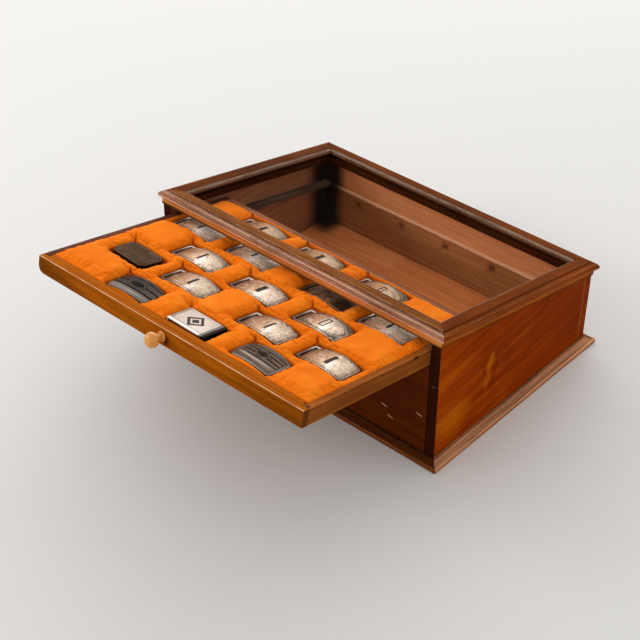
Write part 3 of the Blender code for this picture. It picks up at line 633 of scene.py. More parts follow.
def plinth_section():
    nose = PLINTH_OVERHANG - PLINTH_NOSE_RADIUS
    cove_top = PLINTH_HEIGHT - PLINTH_FILLET_HEIGHT
    nose_centre = (nose, PLINTH_NOSE_HEIGHT - PLINTH_NOSE_RADIUS)
    around = arc(nose_centre, (PLINTH_NOSE_RADIUS, PLINTH_NOSE_RADIUS), 0, 90, 6)
    cove_radii = (nose - PLINTH_FILLET, cove_top - PLINTH_NOSE_HEIGHT)
    cove = arc((nose, cove_top), cove_radii, 270, 180)[1:]
    return (
        ([(SEAT_GAP, 0), (PLINTH_OVERHANG - PLINTH_FOOT_CHAMFER, 0)], 0, LOW),
        ([(PLINTH_OVERHANG, PLINTH_FOOT_CHAMFER)], 0.4, LOW),
        (around[:3], 0.5, LOW),
        (around[3:], 1.0, RIDGE),
        (cove[:-2], 0.35, ROUND),
        (cove[-2:], 0.2, GROOVE),
        ([(PLINTH_FILLET, PLINTH_HEIGHT)], 0.5, ROUND),
        ([(SEAT_GAP, PLINTH_HEIGHT)], 0, GROOVE),
    )


def frame_section():
    nose_out = FRAME_OVERHANG - FRAME_NOSE_RADIUS
    step_foot = FRAME_STEP_WIDTH - FRAME_FLAT_EDGE
    step_level = FRAME_THICKNESS - FRAME_STEP_HEIGHT
    cove_up = FRAME_NOSE_HEIGHT - FRAME_NOSE_RADIUS - FRAME_NECK_HEIGHT
    cove = arc((nose_out, FRAME_NECK_HEIGHT), (nose_out - FRAME_NECK_OUT, cove_up), 180, 90, 6)
    nose_radii = (FRAME_NOSE_RADIUS, FRAME_NOSE_RADIUS)
    nose = arc((nose_out, FRAME_NOSE_HEIGHT), nose_radii, 270, 360, 10)[1:]
    ovolo_radii = (FRAME_OVERHANG - step_foot, step_level - FRAME_NOSE_HEIGHT)
    ovolo = arc((step_foot, FRAME_NOSE_HEIGHT), ovolo_radii, 0, 90, 16)[1:]
    edge, top = -FRAME_FLAT_EDGE, FRAME_THICKNESS
    return (
        ([(-FRAME_INSET, 0), (FRAME_NECK_OUT, 0)], 0, GROOVE),
        (cove + nose[:8], 0.1, LOW),
        (nose[8:], 1.0, RIDGE),
        (ovolo[:1], 0.9, RIDGE),
        (ovolo[1:9], 0.25, ROUND),
        (ovolo[9:11], 1.0, RIDGE),
        (ovolo[11:], 0.25, ROUND),
        ([(edge, step_level)], 0, GROOVE),
        ([(edge, top - EASED), (edge - EASED, top)], 0.5, FLAT),
        ([(edge - RUBBED_OUT, top), (-FRAME_REBATE + RUBBED_IN, top)], 0.04, FLAT),
        ([(-FRAME_REBATE, top)], 0.3, FLAT),
        ([(-FRAME_REBATE, LEDGE_HEIGHT), (-FRAME_INSET, LEDGE_HEIGHT)], 0, GROOVE),
    )


def bead_section():
    outer = -FRAME_REBATE - SEAT_GAP
    base = LEDGE_HEIGHT + GLASS_THICKNESS + 2 * SEAT_GAP
    foot = base + BEAD_FOOT
    hollow_radii = (FRAME_INSET + outer, FRAME_THICKNESS - BEAD_DROP - foot)
    hollow = arc((outer, foot), hollow_radii, 90, 180)
    return (
        ([(outer, base)], 0, GROOVE),
        (hollow[:3], 0.5, ROUND),
        (hollow[3:7], 1.0, RIDGE),
        (hollow[7:], 0.2, ROUND),
        ([(-FRAME_INSET, base)], 0, GROOVE),
    )


def rail(name, section, run, place, stains, material):
    """A mitred length of moulding along X, cut into short lengths so that its edges wear unevenly."""
    section = [(out, up, wear, stain_and_light) for points, wear, stain_and_light in section for out, up in points]
    shape = bmesh.new()
    shape.faces.new([shape.verts.new((0, -out, up)) for out, up, _, _ in section])
    made = bmesh.ops.extrude_face_region(shape, geom=shape.faces[:], use_keep_orig=True)
    moved = {item for item in made["geom"] if isinstance(item, bmesh.types.BMVert)}
    for point in shape.verts:
        reach = run / 2 - point.co.y - SEAT_GAP / math.sqrt(2)
        point.co.x = reach if point in moved else -reach
    long_edges = [edge for edge in shape.edges if edge.verts[0].co.x * edge.verts[1].co.x < 0]
    cuts = int(run / CUT_SPACING)
    bmesh.ops.subdivide_edges(shape, edges=long_edges, cuts=cuts, use_grid_fill=True)
    rounds = np.array([(-out, up) for out, up, _, _ in section])
    lengths = np.concatenate([[0], np.cumsum(np.hypot(*np.diff(rounds, axis=0).T))])
    wear_and_highlight = shape.verts.layers.float.new("wear_and_highlight")
    stained_and_lit = shape.verts.layers.float_color.new("stain_and_light")
    layer = shape.loops.layers.uv.new("run")
    offset = sum(ord(letter) for letter in name) * 0.37
    number = {}
    for point in shape.verts:
        far = np.hypot(rounds[:, 0] - point.co.y, rounds[:, 1] - point.co.z)
        number[point] = int(np.argmin(far))
        point[wear_and_highlight] = section[number[point]][2]
        point[stained_and_lit] = (*stains[section[number[point]][3]], 1.0)
    for face in shape.faces:
        for loop in face.loops:
            loop[layer].uv = (loop.vert.co.x + offset, lengths[number[loop.vert]])
    bmesh.ops.recalc_face_normals(shape, faces=shape.faces)
    shape.normal_update()
    for point in shape.verts:
        wave = noise.noise(Vector((point.co.x * 70 + offset, number[point] * 0.31, offset)))
        point.co -= point.normal * DENT * point[wear_and_highlight] * max(0.0, wave + 0.15)
    settle(name + "_worn", shape, place, material, "case", name, "frame_wood", 50)


def rails(prefix, section, depth, plane, stains, materials):
    """Four mitred rails round the case's width by a depth: front, right, back and left."""
    sides = (
        ("front", CASE_WIDTH, (0, -depth / 2, 0)),
        ("right", depth, (CASE_WIDTH / 2, 0, 0)),
        ("back", CASE_WIDTH, (0, depth / 2, 0)),
        ("left", depth, (-CASE_WIDTH / 2, 0, 0)),
    )
    for number, (side, run, spot) in enumerate(sides):
        place = plane @ Matrix.Translation(spot) @ turned(90 * number)
        rail(f"{prefix}_{side}", section, run, place, stains[number], materials[number])


def knob(material):
    waist = -math.degrees(math.acos(KNOB_WAIST_RADIUS / KNOB_HEAD_RADIUS))
    head_radii = (KNOB_HEAD_RADIUS, KNOB_HEAD_HALF_DEPTH)
    profile = arc((0, KNOB_HEAD_CENTRE), head_radii, 90, waist, 22)
    profile[0] = (0, profile[0][1])
    profile += [(KNOB_NECK_RADIUS, profile[-1][1] - KNOB_WAIST_RADIUS + KNOB_NECK_RADIUS)]
    foot_radii = (KNOB_FOOT_RADIUS - KNOB_NECK_RADIUS, KNOB_FOOT_HEIGHT)
    profile += arc((KNOB_FOOT_RADIUS, SEAT_GAP + KNOB_FOOT_HEIGHT), foot_radii, 180, 270, 6)
    profile += [(KNOB_SPIGOT_RADIUS, SEAT_GAP), (KNOB_SPIGOT_RADIUS, -KNOB_SPIGOT_LENGTH)]
    profile += [(0, -KNOB_SPIGOT_LENGTH)]
    shape = bmesh.new()
    points = [shape.verts.new((out, 0, along)) for out, along in profile]
    edges = [shape.edges.new(pair) for pair in zip(points, points[1:])]
    bmesh.ops.spin(
        shape, geom=points + edges, axis=(0, 0, 1), cent=(0, 0, 0),
        angle=math.tau, steps=64, use_merge=True,
    )
    bmesh.ops.remove_doubles(shape, verts=shape.verts, dist=0.000001)
    place = TRAY_PLANE @ Matrix.Translation((0, 0, TRAY_HEIGHT / 2)) @ turned(90, "X")
    settle("knob_turned", shape, place, material, "tray", "knob", "knob_wood", 40)


def plate_height(x, y):
    along, across = 2 * x / BUCKLE_LENGTH, 2 * y / BUCKLE_DEPTH
    return BUCKLE_PLATE + BUCKLE_CROWN * (1 - along**2) + BUCKLE_CROSS_CROWN * (1 - across**2)


def box_distance(x, y, half_x, half_y):
    """Distance outside a box, and below nought inside it."""
    dx, dy = abs(x) - half_x, abs(y) - half_y
    return math.hypot(max(dx, 0), max(dy, 0)) + min(max(dx, dy), 0)


def wire(shape):
    """Adds the wire bail at a buckle's left end."""
    half = BAIL_WIDTH / 2
    inner = -BUCKLE_LENGTH / 2 + BAIL_ARM_LENGTH
    outer = -BUCKLE_LENGTH / 2 - BAIL_REACH - BAIL_SEEN_OUT + BAIL_WIRE_RADIUS
    low = BAIL_WIRE_RADIUS
    high = plate_height(inner, half) - BUCKLE_PLATE / 2
    centre = (outer + BAIL_CORNER_RADIUS, half - BAIL_CORNER_RADIUS)
    turn = arc(centre, (BAIL_CORNER_RADIUS, BAIL_CORNER_RADIUS), 90, 180, 6)
    side = [(inner, half, high), (-BUCKLE_LENGTH / 2 + BUCKLE_PLATE, half, low)]
    side += [(x, y, low) for x, y in turn]
    path = side + [(x, -y, z) for x, y, z in reversed(side)]
    curve = bpy.data.curves.new("bail", "CURVE")
    curve.dimensions = "3D"
    curve.bevel_depth = BAIL_SEEN_RADIUS
    curve.bevel_resolution = 4
    curve.use_fill_caps = True
    spline = curve.splines.new("POLY")
    spline.points.add(len(path) - 1)
    for point, spot in zip(spline.points, path):
        point.co = (*spot, 1)
    loop = bpy.data.objects.new("bail", curve)
    mesh = bpy.data.meshes.new_from_object(loop)
    bpy.data.objects.remove(loop)
    shape.from_mesh(mesh)
    bpy.data.meshes.remove(mesh)


def rounded_corner(x, y, half_x, half_y, radius):
    """Moves a point of a square corner on to a round one."""
    dx, dy = abs(x) - half_x + radius, abs(y) - half_y + radius
    if dx <= 0 or dy <= 0:
        return x, y
    reach = max(dx, dy) / math.hypot(dx, dy)
    x = math.copysign(half_x - radius + dx * reach, x)
    return x, math.copysign(half_y - radius + dy * reach, y)


def grid(length, depth, columns, rows, middle=0.0):
    shape = bmesh.new()
    place = Matrix.Translation((0, middle, 0)) @ Matrix.Diagonal((length, depth, 1, 1))
    bmesh.ops.create_grid(shape, x_segments=columns, y_segments=rows, size=0.5, matrix=place)
    return shape


def grow(shape, edges):
    """Grows faces out of some edges. Gives the new points, still where the edges are."""
    made = bmesh.ops.extrude_edge_only(shape, edges=edges)
    return [item for item in made["geom"] if isinstance(item, bmesh.types.BMVert)]


def ease(shape, edges, width, segments):
    bmesh.ops.bevel(
        shape, geom=edges, offset=width, segments=segments,
        profile=0.5, affect="EDGES", material=-1,
    )


def sharp_edges(shape):
    return [edge for edge in shape.edges if edge.calc_face_angle(0) > math.radians(50)]


def open_edges(shape):
    return [edge for edge in shape.edges if edge.is_boundary]


def top_face(shape):
    return max(shape.faces, key=lambda face: face.calc_center_median().z)


def cut_to_triangles(shape):
    """Cuts up the faces of more than four corners."""
    bmesh.ops.triangulate(shape, faces=[face for face in shape.faces if len(face.verts) > 4])


def plate_layers(shape):
    """What each point of a buckle says to its finish: lengths in millimetres, and one on the wire."""
    names = ("x_mm", "y_mm", "bar_wide", "bar_long", "wire", "down_mm")
    return {name: shape.verts.layers.float.new(name) for name in names}


def say(point, layers, **values):
    """Sets what a point says. By default it is where it lies, and there is no mark."""
    values = {"x_mm": point.co.x * MM, "y_mm": point.co.y * MM, "bar_wide": NO_MARK_MM} | values
    for name, value in values.items():
        point[layers[name]] = value


def curved_buckle(name, material):
    kind, *_, half_wide, half_long = BUCKLES[name]
    marked = {"bar_wide": half_wide * MM, "bar_long": half_long * MM} if half_wide else {}
    shape = grid(BUCKLE_LENGTH, BUCKLE_DEPTH, 88, 56)
    layers = plate_layers(shape)
    place = buckle_place(name)
    corner = (BUCKLE_LENGTH / 2, BUCKLE_DEPTH / 2, BUCKLE_CORNER_RADIUS)
    for point in shape.verts:
        x, y = rounded_corner(*point.co.xy, *corner)
        along, across = 2 * x / BUCKLE_LENGTH, 2 * y / BUCKLE_DEPTH
        say(point, layers, x_mm=x * MM, y_mm=y * MM, **marked)
        outside = box_distance(x, y, half_wide, half_long) * MM
        sunk = MARK_DEPTH * max(0.0, min(1.0, 0.5 - 4 * outside)) if marked else 0.0
        knock = noise.noise(place.translation * 90 + Vector((x, y, 0)) * 260) - 1
        point.co.x = x + along * BUCKLE_END_BULGE * (1 - across**2)
        point.co.y = y + across * BUCKLE_SIDE_BULGE * (1 - along**2)
        point.co.z = plate_height(x, y) - sunk + knock * BUCKLE_KNOCKS
    bmesh.ops.solidify(shape, geom=shape.faces[:], thickness=BUCKLE_SEEN_PLATE)
    ease(shape, sharp_edges(shape), RIM_ROUND, 2)
    if kind in WITH_WIRE:
        plate = set(shape.verts)
        wire(shape)
        for point in set(shape.verts) - plate:
            say(point, layers, wire=1)
    slot = "worn_silver" if kind in ("silver", "framed") else "dark_metal"
    settle(name + "_plate", shape, place, material, "tray", name, slot, 45)


def box_buckle(name, material):
    """A flat bright plate whose two ends are turned down."""
    half = FLAT_BUCKLE_LENGTH / 2
    shape = grid(FLAT_BUCKLE_LENGTH, FLAT_BUCKLE_DEPTH, 48, 32)
    ends = [
        edge for edge in shape.edges
        if all(abs(abs(point.co.x) - half) < 1e-6 for point in edge.verts)
    ]
    for point in grow(shape, ends):
        point.co.z -= FLAT_BUCKLE_HEIGHT
    bmesh.ops.recalc_face_normals(shape, faces=shape.faces)
    if top_face(shape).normal.z < 0:
        bmesh.ops.reverse_faces(shape, faces=shape.faces)
    bmesh.ops.solidify(shape, geom=shape.faces[:], thickness=BUCKLE_PLATE)
    shape.transform(Matrix.Translation((0, 0, FLAT_BUCKLE_HEIGHT)))
    ease(shape, sharp_edges(shape), BOX_ROUND, 3)
    layers = plate_layers(shape)
    for point in shape.verts:
        say(point, layers, down_mm=(FLAT_BUCKLE_HEIGHT - point.co.z) * MM)
    settle(name + "_plate", shape, buckle_place(name), material, "tray", name, "worn_silver", 45)


def octagonal_buckle(name, material):
    """A dark block with clipped corners and a raised panel inside a border."""
    level = FLAT_BUCKLE_HEIGHT - OCTAGON_RAISE
    shape = bmesh.new()
    size = Matrix.Diagonal((FLAT_BUCKLE_LENGTH, FLAT_BUCKLE_DEPTH, level, 1))
    middle = Matrix.Translation((0, 0, level / 2))
    bmesh.ops.create_cube(shape, size=1, matrix=middle @ size)
    upright = [
        edge for edge in shape.edges
        if abs(edge.verts[0].co.z - edge.verts[1].co.z) > level / 2
    ]
    ease(shape, upright, OCTAGON_SEEN_CLIP, 1)
    top = top_face(shape)
    for point in top.verts:
        point.co.x *= 1 - OCTAGON_SEEN_TAPER / (FLAT_BUCKLE_LENGTH / 2)
        point.co.y *= 1 - OCTAGON_SEEN_TAPER / (FLAT_BUCKLE_DEPTH / 2)
    rim = list(top.edges)
    bmesh.ops.inset_region(shape, faces=[top], thickness=OCTAGON_BORDER)
    bmesh.ops.inset_region(shape, faces=[top], thickness=OCTAGON_RAISE, depth=OCTAGON_RAISE)
    ease(shape, rim + list(top.edges), BLOCK_ROUND, 3)
    layers = plate_layers(shape)
    for point in shape.verts:
        say(point, layers, down_mm=(FLAT_BUCKLE_HEIGHT - point.co.z) * MM)
    cut_to_triangles(shape)
    settle(name + "_block", shape, buckle_place(name), material, "tray", name, "dark_metal", 30)


def well_distance(x, y, name):
    """How far outside a buckle's well a point of the tray lies, and its place seen from the well."""
    kind, *_, turn = BUCKLES[name][:4]
    middle_x, middle_y = well_middle(name)
    dx, dy = x - middle_x, y - middle_y
    cos, sin = math.cos(math.radians(turn)), math.sin(math.radians(turn))
    dx, dy = dx * cos + dy * sin, dy * cos - dx * sin
    left = WELL_LEFT if kind in WITH_WIRE else WELL_RIGHT
    half_x = (WELL_RIGHT + left) / 2 - WELL_CORNER
    aside = dx - (WELL_RIGHT - left) / 2
    reach = box_distance(aside, dy, half_x, WELL_HALF_DEPTH - WELL_CORNER) - WELL_CORNER
    return reach, dx, dy, left


def nearest_well(x, y):
    return min((*well_distance(x, y, name), name) for name in BUCKLES)


def bell(value, middle, width):
    return math.exp(-(((value - middle) / width) ** 2))


def pleats(dx, dy, left):
    """Puckers out from a well's rear corners, and creases beside and behind it: height, and darkness that
    is painted shade.
    """
    raised, dark = 0.0, 0.0
    behind = dy - WELL_HALF_DEPTH
    for side, corner, reach, strength in ((-1, left, 0.0125, 1.0), (1, WELL_RIGHT, 0.0075, 0.5)):
        out, back = side * dx - corner + 0.0016, behind + 0.0016
        along, aside = (out + back) / math.sqrt(2), (out - back) / math.sqrt(2)
        if 0 < along < reach:
            fade = math.sin(math.pi * min(1.0, along / reach) ** 0.5) * strength
            crease = bell(aside, 0, 0.0008)
            raised += fade * (0.0010 * bell(abs(aside), 0.0019, 0.0009) - 0.0028 * crease)
            dark = max(dark, 0.75 * fade * crease)
        if out > 0.001:
            valley = bell(behind, 0.0004, 0.0010) * math.exp(-out / 0.012) * strength
            raised -= 0.0018 * valley
            dark = max(dark, 0.55 * valley)
    if behind > 0 and -left < dx < WELL_RIGHT:
        fade = (0.65 - 0.35 * dx / WELL_RIGHT) * min(1.0, (dx + left) / 0.004)
        valley = bell(behind, 0.0036, 0.0008) * fade
        raised += 0.0010 * bell(behind, 0.0017, 0.0010) * fade - 0.0012 * valley
        dark = max(dark, 0.42 * valley)
    return raised, dark


def under_plate(dx, kind):
    """How far the padding rises under a plate."""
    if kind == "octagonal":
        return 0.0
    if kind == "plain_box":
        return 0.0030 * max(0.0, min(1.0, (0.0172 - abs(dx)) / 0.001))
    return BUCKLE_CROWN * max(0.0, 1 - (2 * dx / BUCKLE_LENGTH) ** 2)


def first_height(x, y, half, front, back):
    """Height of the velvet before it swells, and whether it is held down there."""
    reach = nearest_well(x, y)[0]
    border = min(half - abs(x), y - front, back - y)
    if reach <= 0.0002:
        return WELL_FLOOR + 0.0012, True
    crown = 1 - math.exp(-max(0.0, min(reach, border)) / 0.006)
    creased = noise.noise(Vector((x * 95, y * 95, 0.5))) * 0.0008
    creased += noise.noise(Vector((x * 240, y * 240, 4))) * 0.00015
    full = 1 - math.exp(-min(reach, border + 0.0028) / 0.0017)
    lift = 0.0012 + full * (0.0015 + (0.0006 + creased) * crown)
    return WELL_FLOOR + lift, border < 0.0004


def swell(shape, held):
    """Blows the velvet up as cloth between the places where it is held down, at ten times its size."""
    large = 10.0
    mesh = meshed("swelling", shape)
    mesh.transform(Matrix.Scale(large, 4))
    piece = put_up("swelling", mesh)
    piece.vertex_groups.new(name="held").add(held, 1.0, "REPLACE")
    cloth = piece.modifiers.new("swelling", "CLOTH")
    settings = cloth.settings
    settings.quality = 5
    settings.tension_stiffness = settings.compression_stiffness = 15
    settings.bending_stiffness = 0.05
    settings.vertex_group_mass = "held"
    settings.shrink_min = settings.shrink_max = -0.075
    settings.use_pressure = True
    settings.uniform_pressure_force = 4
    settings.effector_weights.gravity = 0
    cloth.collision_settings.use_collision = False
    for step in range(1, 21):
        bpy.context.scene.frame_set(step)
    swollen = piece.evaluated_get(bpy.context.evaluated_depsgraph_get()).data
    for point, moved in zip(shape.verts, swollen.vertices):
        move = moved.co / large - point.co
        flat = move.xy.length
        if flat > SWELL_ASIDE:
            move.xy *= SWELL_ASIDE / flat
        move.z = max(-SWELL_DOWN, min(SWELL_UP, move.z))
        point.co += move
    bpy.data.objects.remove(piece)
    bpy.context.scene.frame_set(1)


def sew(shape):
    """Presses the wells, their steep sides, the pleats and the creases into the swollen velvet, and paints
    shade into the wells and creases.
    """
    crease_shade = shape.verts.layers.float.new("crease_shade")
    foot = WELL_FLOOR + VELVET_FOOT
    for point in shape.verts:
        x, y = point.co.xy
        reach, dx, dy, left, name = nearest_well(x, y)
        support = under_plate(dx, BUCKLES[name][0])
        if reach < WELL_RING - WELL_STEP / 2:
            point.co.z = WELL_FLOOR + max(0.0, support - 0.0006)
            point[crease_shade] = 0.92
            continue
        if reach < WELL_RING + WELL_STEP / 2:
            step = 0.0001
            slope_x = (nearest_well(x + step, y)[0] - reach) / step
            slope_y = (nearest_well(x, y + step)[0] - reach) / step
            point.co.x -= (reach - WELL_RING) * slope_x
            point.co.y -= (reach - WELL_RING) * slope_y
            reach = WELL_RING
        away = max(0.0, reach - WELL_RING)
        height = foot + (point.co.z - foot) * min(1.0, away / 0.0030) ** 0.7
        arch = 0.0
        if abs(dy) > WELL_HALF_DEPTH - 0.001:
            arch = support * bell(reach, 0, 0.006) * (0.88 if dy < 0 else 0.62)
        wall = 0.0013 * (1 - math.exp(-reach / 0.0005)) * (1 - arch / BUCKLE_CROWN)
        raised, dark = pleats(dx, dy, left)
        point.co.z = max(WELL_FLOOR + 0.0006, height + arch + wall + raised)
        shadow = 0.55 if dy > -WELL_HALF_DEPTH + 0.001 else 0.25
        point[crease_shade] = min(0.9, max(dark, shadow * math.exp(-away / 0.0006)))


def cushion(material):
    """The padded liner: velvet that swells between the wells, with pleats at their rear corners."""
    half = TRAY_INNER_HALF - SEAT_GAP
    front, back = LINER_FRONT + SEAT_GAP, LINER_BACK - SEAT_GAP
    shape = grid(2 * half, back - front, 168, 121, (front + back) / 2)
    held = []
    for index, point in enumerate(shape.verts):
        point.co.z, fixed = first_height(point.co.x, point.co.y, half, front, back)
        if fixed:
            held.append(index)
    swell(shape, held)
    bmesh.ops.subdivide_edges(shape, edges=shape.edges[:], cuts=1, use_grid_fill=True)
    sew(shape)
    for point in grow(shape, open_edges(shape)):
        point.co.z = LINER_BASE
    bmesh.ops.contextual_create(shape, geom=open_edges(shape))
    cut_to_triangles(shape)
    seat = (TRAY_PLANE, material, "tray", "velvet_liner", "orange_velvet")
    settle("velvet_cushion", shape, *seat, 75)


# ---------------------------------------------------------------- the case's own boards


def dress(material, *names):
    for name in names:
        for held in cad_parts[name].material_slots:
            held.material = material


def paint_corner_shade(made, share=1.0):
    """Paints shade on the inside of the case's rear left corner, as in the photo."""
    spot = made.place()
    corner = spot.axis("X").between(-0.114, -0.130) * spot.axis("Y").between(0.062, 0.084)
    made.paint(corner * share * 0.97, (0.006, 0.003, 0.002))


# Figures in the right side board's varnish: place along it and up, size, tilt in degrees,
# share and colour
FIGURES = (
    ((-0.0368, 0.0642), (0.0062, 0.0125), -20, 0.50, (0.66, 0.18, 0.004)),
    ((-0.0400, 0.0480), (0.0060, 0.0150), -8, 0.35, (0.62, 0.16, 0.003)),
    ((-0.0860, 0.0340), (0.0340, 0.0220), 0, 0.42, (0.62, 0.165, 0.002)),
    ((-0.0300, 0.0500), (0.0022, 0.0220), -14, 0.6, (0.12, 0.012, 0.0001)),
    ((-0.0440, 0.0560), (0.0024, 0.0150), 30, 0.45, (0.14, 0.014, 0.0001)),
    ((0.0393, 0.0828), (0.0130, 0.0020), 30, 0.7, (0.10, 0.012, 0.0001)),
)
HAIR = 0.0002
VARNISH = ((0.17, 0.019, 0.0002), (0.33, 0.046, 0.0004), (0.52, 0.096, 0.0008))


def case_board_finish(name, turn, axis, half, inside_tones):
    """Orange-brown varnish outside, bare pinkish wood nearer the middle, and nearly black front ends."""
    turn = tuple(math.radians(angle) for angle in turn)
    made = wood(name, VARNISH, 0.0035, turn, ring_share=0.10, contrast=0.8)
    spot = made.place()
    # Painted shade: the boards darker towards the back and top
    back_up = spot.axis("Z") * 0.9 + spot.axis("Y")
    made.paint(back_up.between(-0.06, 0.16, 0.0, 0.55), (0.15, 0.014, 0.0001))
    for place, size, tilt, share, color in FIGURES:
        place, size = (CASE_WIDTH / 2, *place), (0.02, *size)
        made.spot(place, size, share, color, (math.radians(tilt), 0, 0))
    inner = reckon("LESS_THAN", abs(spot.axis(axis)), half - BOARD_THICKNESS + HAIR)
    bare = made.noise((0.05, 0.05, 0.002), 4.0, 0.6)
    outside = made.color
    made.tones(bare, *zip((0.3, 0.7), inside_tones))
    made.color = made.mix(inner, outside, made.color)
    paint_corner_shade(made, inner)
    made.gloss = made.gloss.most(inner * 0.6)
    stile = reckon("LESS_THAN", spot.axis("Y"), -CASE_DEPTH / 2 + 2 * HAIR)
    made.paint(stile, (0.035, 0.008, 0.003))
    made.spot((0.1455, -CASE_DEPTH / 2, 0.0772), (0.0026, 0.0040, 0.0006), 0.7, (0.30, 0.15, 0.08))
    return made.lay(0.004)


side_tones = ((0.26, 0.105, 0.045), (0.38, 0.165, 0.078))
back_tones = ((0.62, 0.240, 0.092), (0.86, 0.365, 0.155))
side_wood = case_board_finish("side_varnish", (0, -5, 90), "X", CASE_WIDTH / 2, side_tones)
back_wood = case_board_finish("back_varnish", (0, -2, 0), "Y", CASE_DEPTH / 2, back_tones)
dress(side_wood, "side_left", "side_right")
dress(back_wood, "back_board")

# Scratches on the front panel, along it and up
SCRATCHES = ((0.0982, 0.0331), (0.1048, 0.0242), (0.1166, 0.0742), (0.1333, 0.0429))
# The panel's dark varnish, made darker still by painted shade
tones = ((0.060, 0.009, 0.001), (0.095, 0.017, 0.002), (0.135, 0.028, 0.004))
panel = wood("shaded_front_panel_varnish", tones, 0.012, roughness=(0.35, 0.5), ring_share=0.03, contrast=0.7)
for x, z in SCRATCHES:
    place, turn = (x, -CASE_DEPTH / 2 + 0.0025, z), (0, math.radians(14), 0)
    panel.spot(place, (0.0042, 0.02, 0.0007), 0.8, (0.75, 0.40, 0.20), turn, 0.5)
dress(panel.lay(0.01), "front_panel")

tones = ((0.60, 0.190, 0.056), (0.80, 0.262, 0.078), (0.90, 0.330, 0.110))
bare = wood("bare_inside_wood", tones, 0.006, roughness=(0.55, 0.7))
paint_corner_shade(bare)
dress(bare.lay(0.04), "floor_board")

LINING_TOP = max(point[2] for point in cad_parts["back_lining"].bound_box)
KNOT_SPACING, FIRST_KNOT, KNOT_HEIGHT = 0.052, -0.0989, 0.0425
tones = ((0.28, 0.115, 0.040), (0.39, 0.162, 0.056), (0.50, 0.215, 0.082))
lining = wood("lining_wood", tones, 0.006, roughness=(0.55, 0.7), contrast=0.8)
seen = lining.place()
along = reckon("WRAP", seen.axis("X") - FIRST_KNOT, KNOT_SPACING / 2, -KNOT_SPACING / 2)
far = abs(along).most(abs(seen.axis("Z") - KNOT_HEIGHT))
far = far + lining.noise(0.006, 3.0, 0.6) * 0.006
lining.paint(far.between(0.0095, 0.0075, 0.0, 0.5), (0.30, 0.095, 0.028))
lining.paint(far.between(0.0066, 0.0042, 0.0, 0.8), (0.09, 0.040, 0.018))
height = lining.noise(0.010, 4.0, 0.7) * 0.0030 + seen.axis("Z")
ragged = height.between(LINING_TOP - 0.0002, LINING_TOP + 0.0006, 0.0, 0.8)
lining.paint(ragged, (0.95, 0.55, 0.31))
paint_corner_shade(lining)
dress(lining.lay(0.02), "back_lining")

# ---------------------------------------------------------------- the runners' and the tray's boards

ALONG_TRAY = (0, SLOPE, math.radians(90))
tones = ((0.05, 0.030, 0.018), (0.085, 0.055, 0.038), (0.14, 0.09, 0.06))
runner = wood("dark_runner_wood", tones, turn=ALONG_TRAY, roughness=(0.5, 0.65))
dress(runner.lay(0.01), "runner_left", "runner_right")


def in_tray(made):
    """Coordinates in the tray's own plane."""
    return made.place(turn=SLOPE_TURN, centre=TRAY_PLANE.translation)


def tray_spot(made, place, size, share, color):
    made.spot(TRAY_PLANE @ Vector(place), size, share, color, SLOPE_TURN)


CHIP = (0.025, 0.009, 0.003)
tones = ((0.29, 0.068, 0.002), (0.46, 0.112, 0.003), (0.57, 0.155, 0.006))
facing = wood("facing_varnish", tones, turn=SLOPE_TURN, roughness=(0.32, 0.46), contrast=0.6)
seen = in_tray(facing)
height, aside = seen.axis("Z"), abs(seen.axis("X"))
patchy = facing.noise(facing.place((0.05, 0.006, 0.006), SLOPE_TURN), 3.0, 0.6)
front = height.between(TRAY_HEIGHT - 0.0004, TRAY_HEIGHT - 0.0012)
shaded = aside.between(0.05, 0.14, 0.0, 0.35) + patchy.between(0.35, 0.65, 0.50, 0.20)
facing.paint(front * shaded, (0.10, 0.026, 0.001))
# The top arris pale in places: partly wear, partly a painted highlight
arris = (height - seen.axis("Y")).between(TRAY_HEIGHT - 0.0007, TRAY_HEIGHT - 0.0003)
rub_and_highlight = facing.noise((0.02, 0.004, 0.004)).between(0.30, 0.55, 0.45, 1.0)
facing.paint(arris * rub_and_highlight, (0.84, 0.52, 0.32))
end_grain = aside.between(TRAY_HALF_WIDTH - 0.0008, TRAY_HALF_WIDTH - 0.0002)
facing.paint(end_grain * 0.75, (0.10, 0.034, 0.008))
tray_spot(facing, (0.1330, 0.0084, 0.0144), (0.0016, 0.0012, 0.0016), 0.9, CHIP)
# Painted shadow of the knob on the facing, to the right of its foot and a little below
tray_spot(facing, (0.0040, 0.0, 0.0058), (0.0064, 0.0100, 0.0064), 0.85, (0.035, 0.012, 0.001))
dress(facing.lay(0.006), "tray_facing", "tray_inner_front")

tones = ((0.19, 0.065, 0.027), (0.31, 0.115, 0.052), (0.38, 0.16, 0.085))
tray_back = wood("tray_back_wood", tones, turn=SLOPE_TURN, roughness=(0.4, 0.55))
dress(tray_back.lay(0.01), "tray_back")

tones = ((0.13, 0.034, 0.004), (0.25, 0.068, 0.009), (0.38, 0.12, 0.024))
tray = wood("tray_side_wood", tones, turn=ALONG_TRAY, roughness=(0.4, 0.55), bend=0.4, contrast=0.8)
height = in_tray(tray).axis("Z")
# Painted light: the top of the tray's sides lighter and paler, as lit from above
top = height.between(TRAY_HEIGHT - 0.0007, TRAY_HEIGHT - 0.0003)
tray.paint(top, tray.mix(1.0, tray.color, (1.40, 1.45, 1.75), "MULTIPLY"))
arris = abs(height - (TRAY_HEIGHT - 0.0009)).between(0.0006, 0.0002)
broken = tray.noise((0.016, 0.004, 0.004), 3.0, 0.6).between(0.40, 0.60, 0.10, 0.75)
tray.paint(arris * broken, (0.055, 0.016, 0.003))
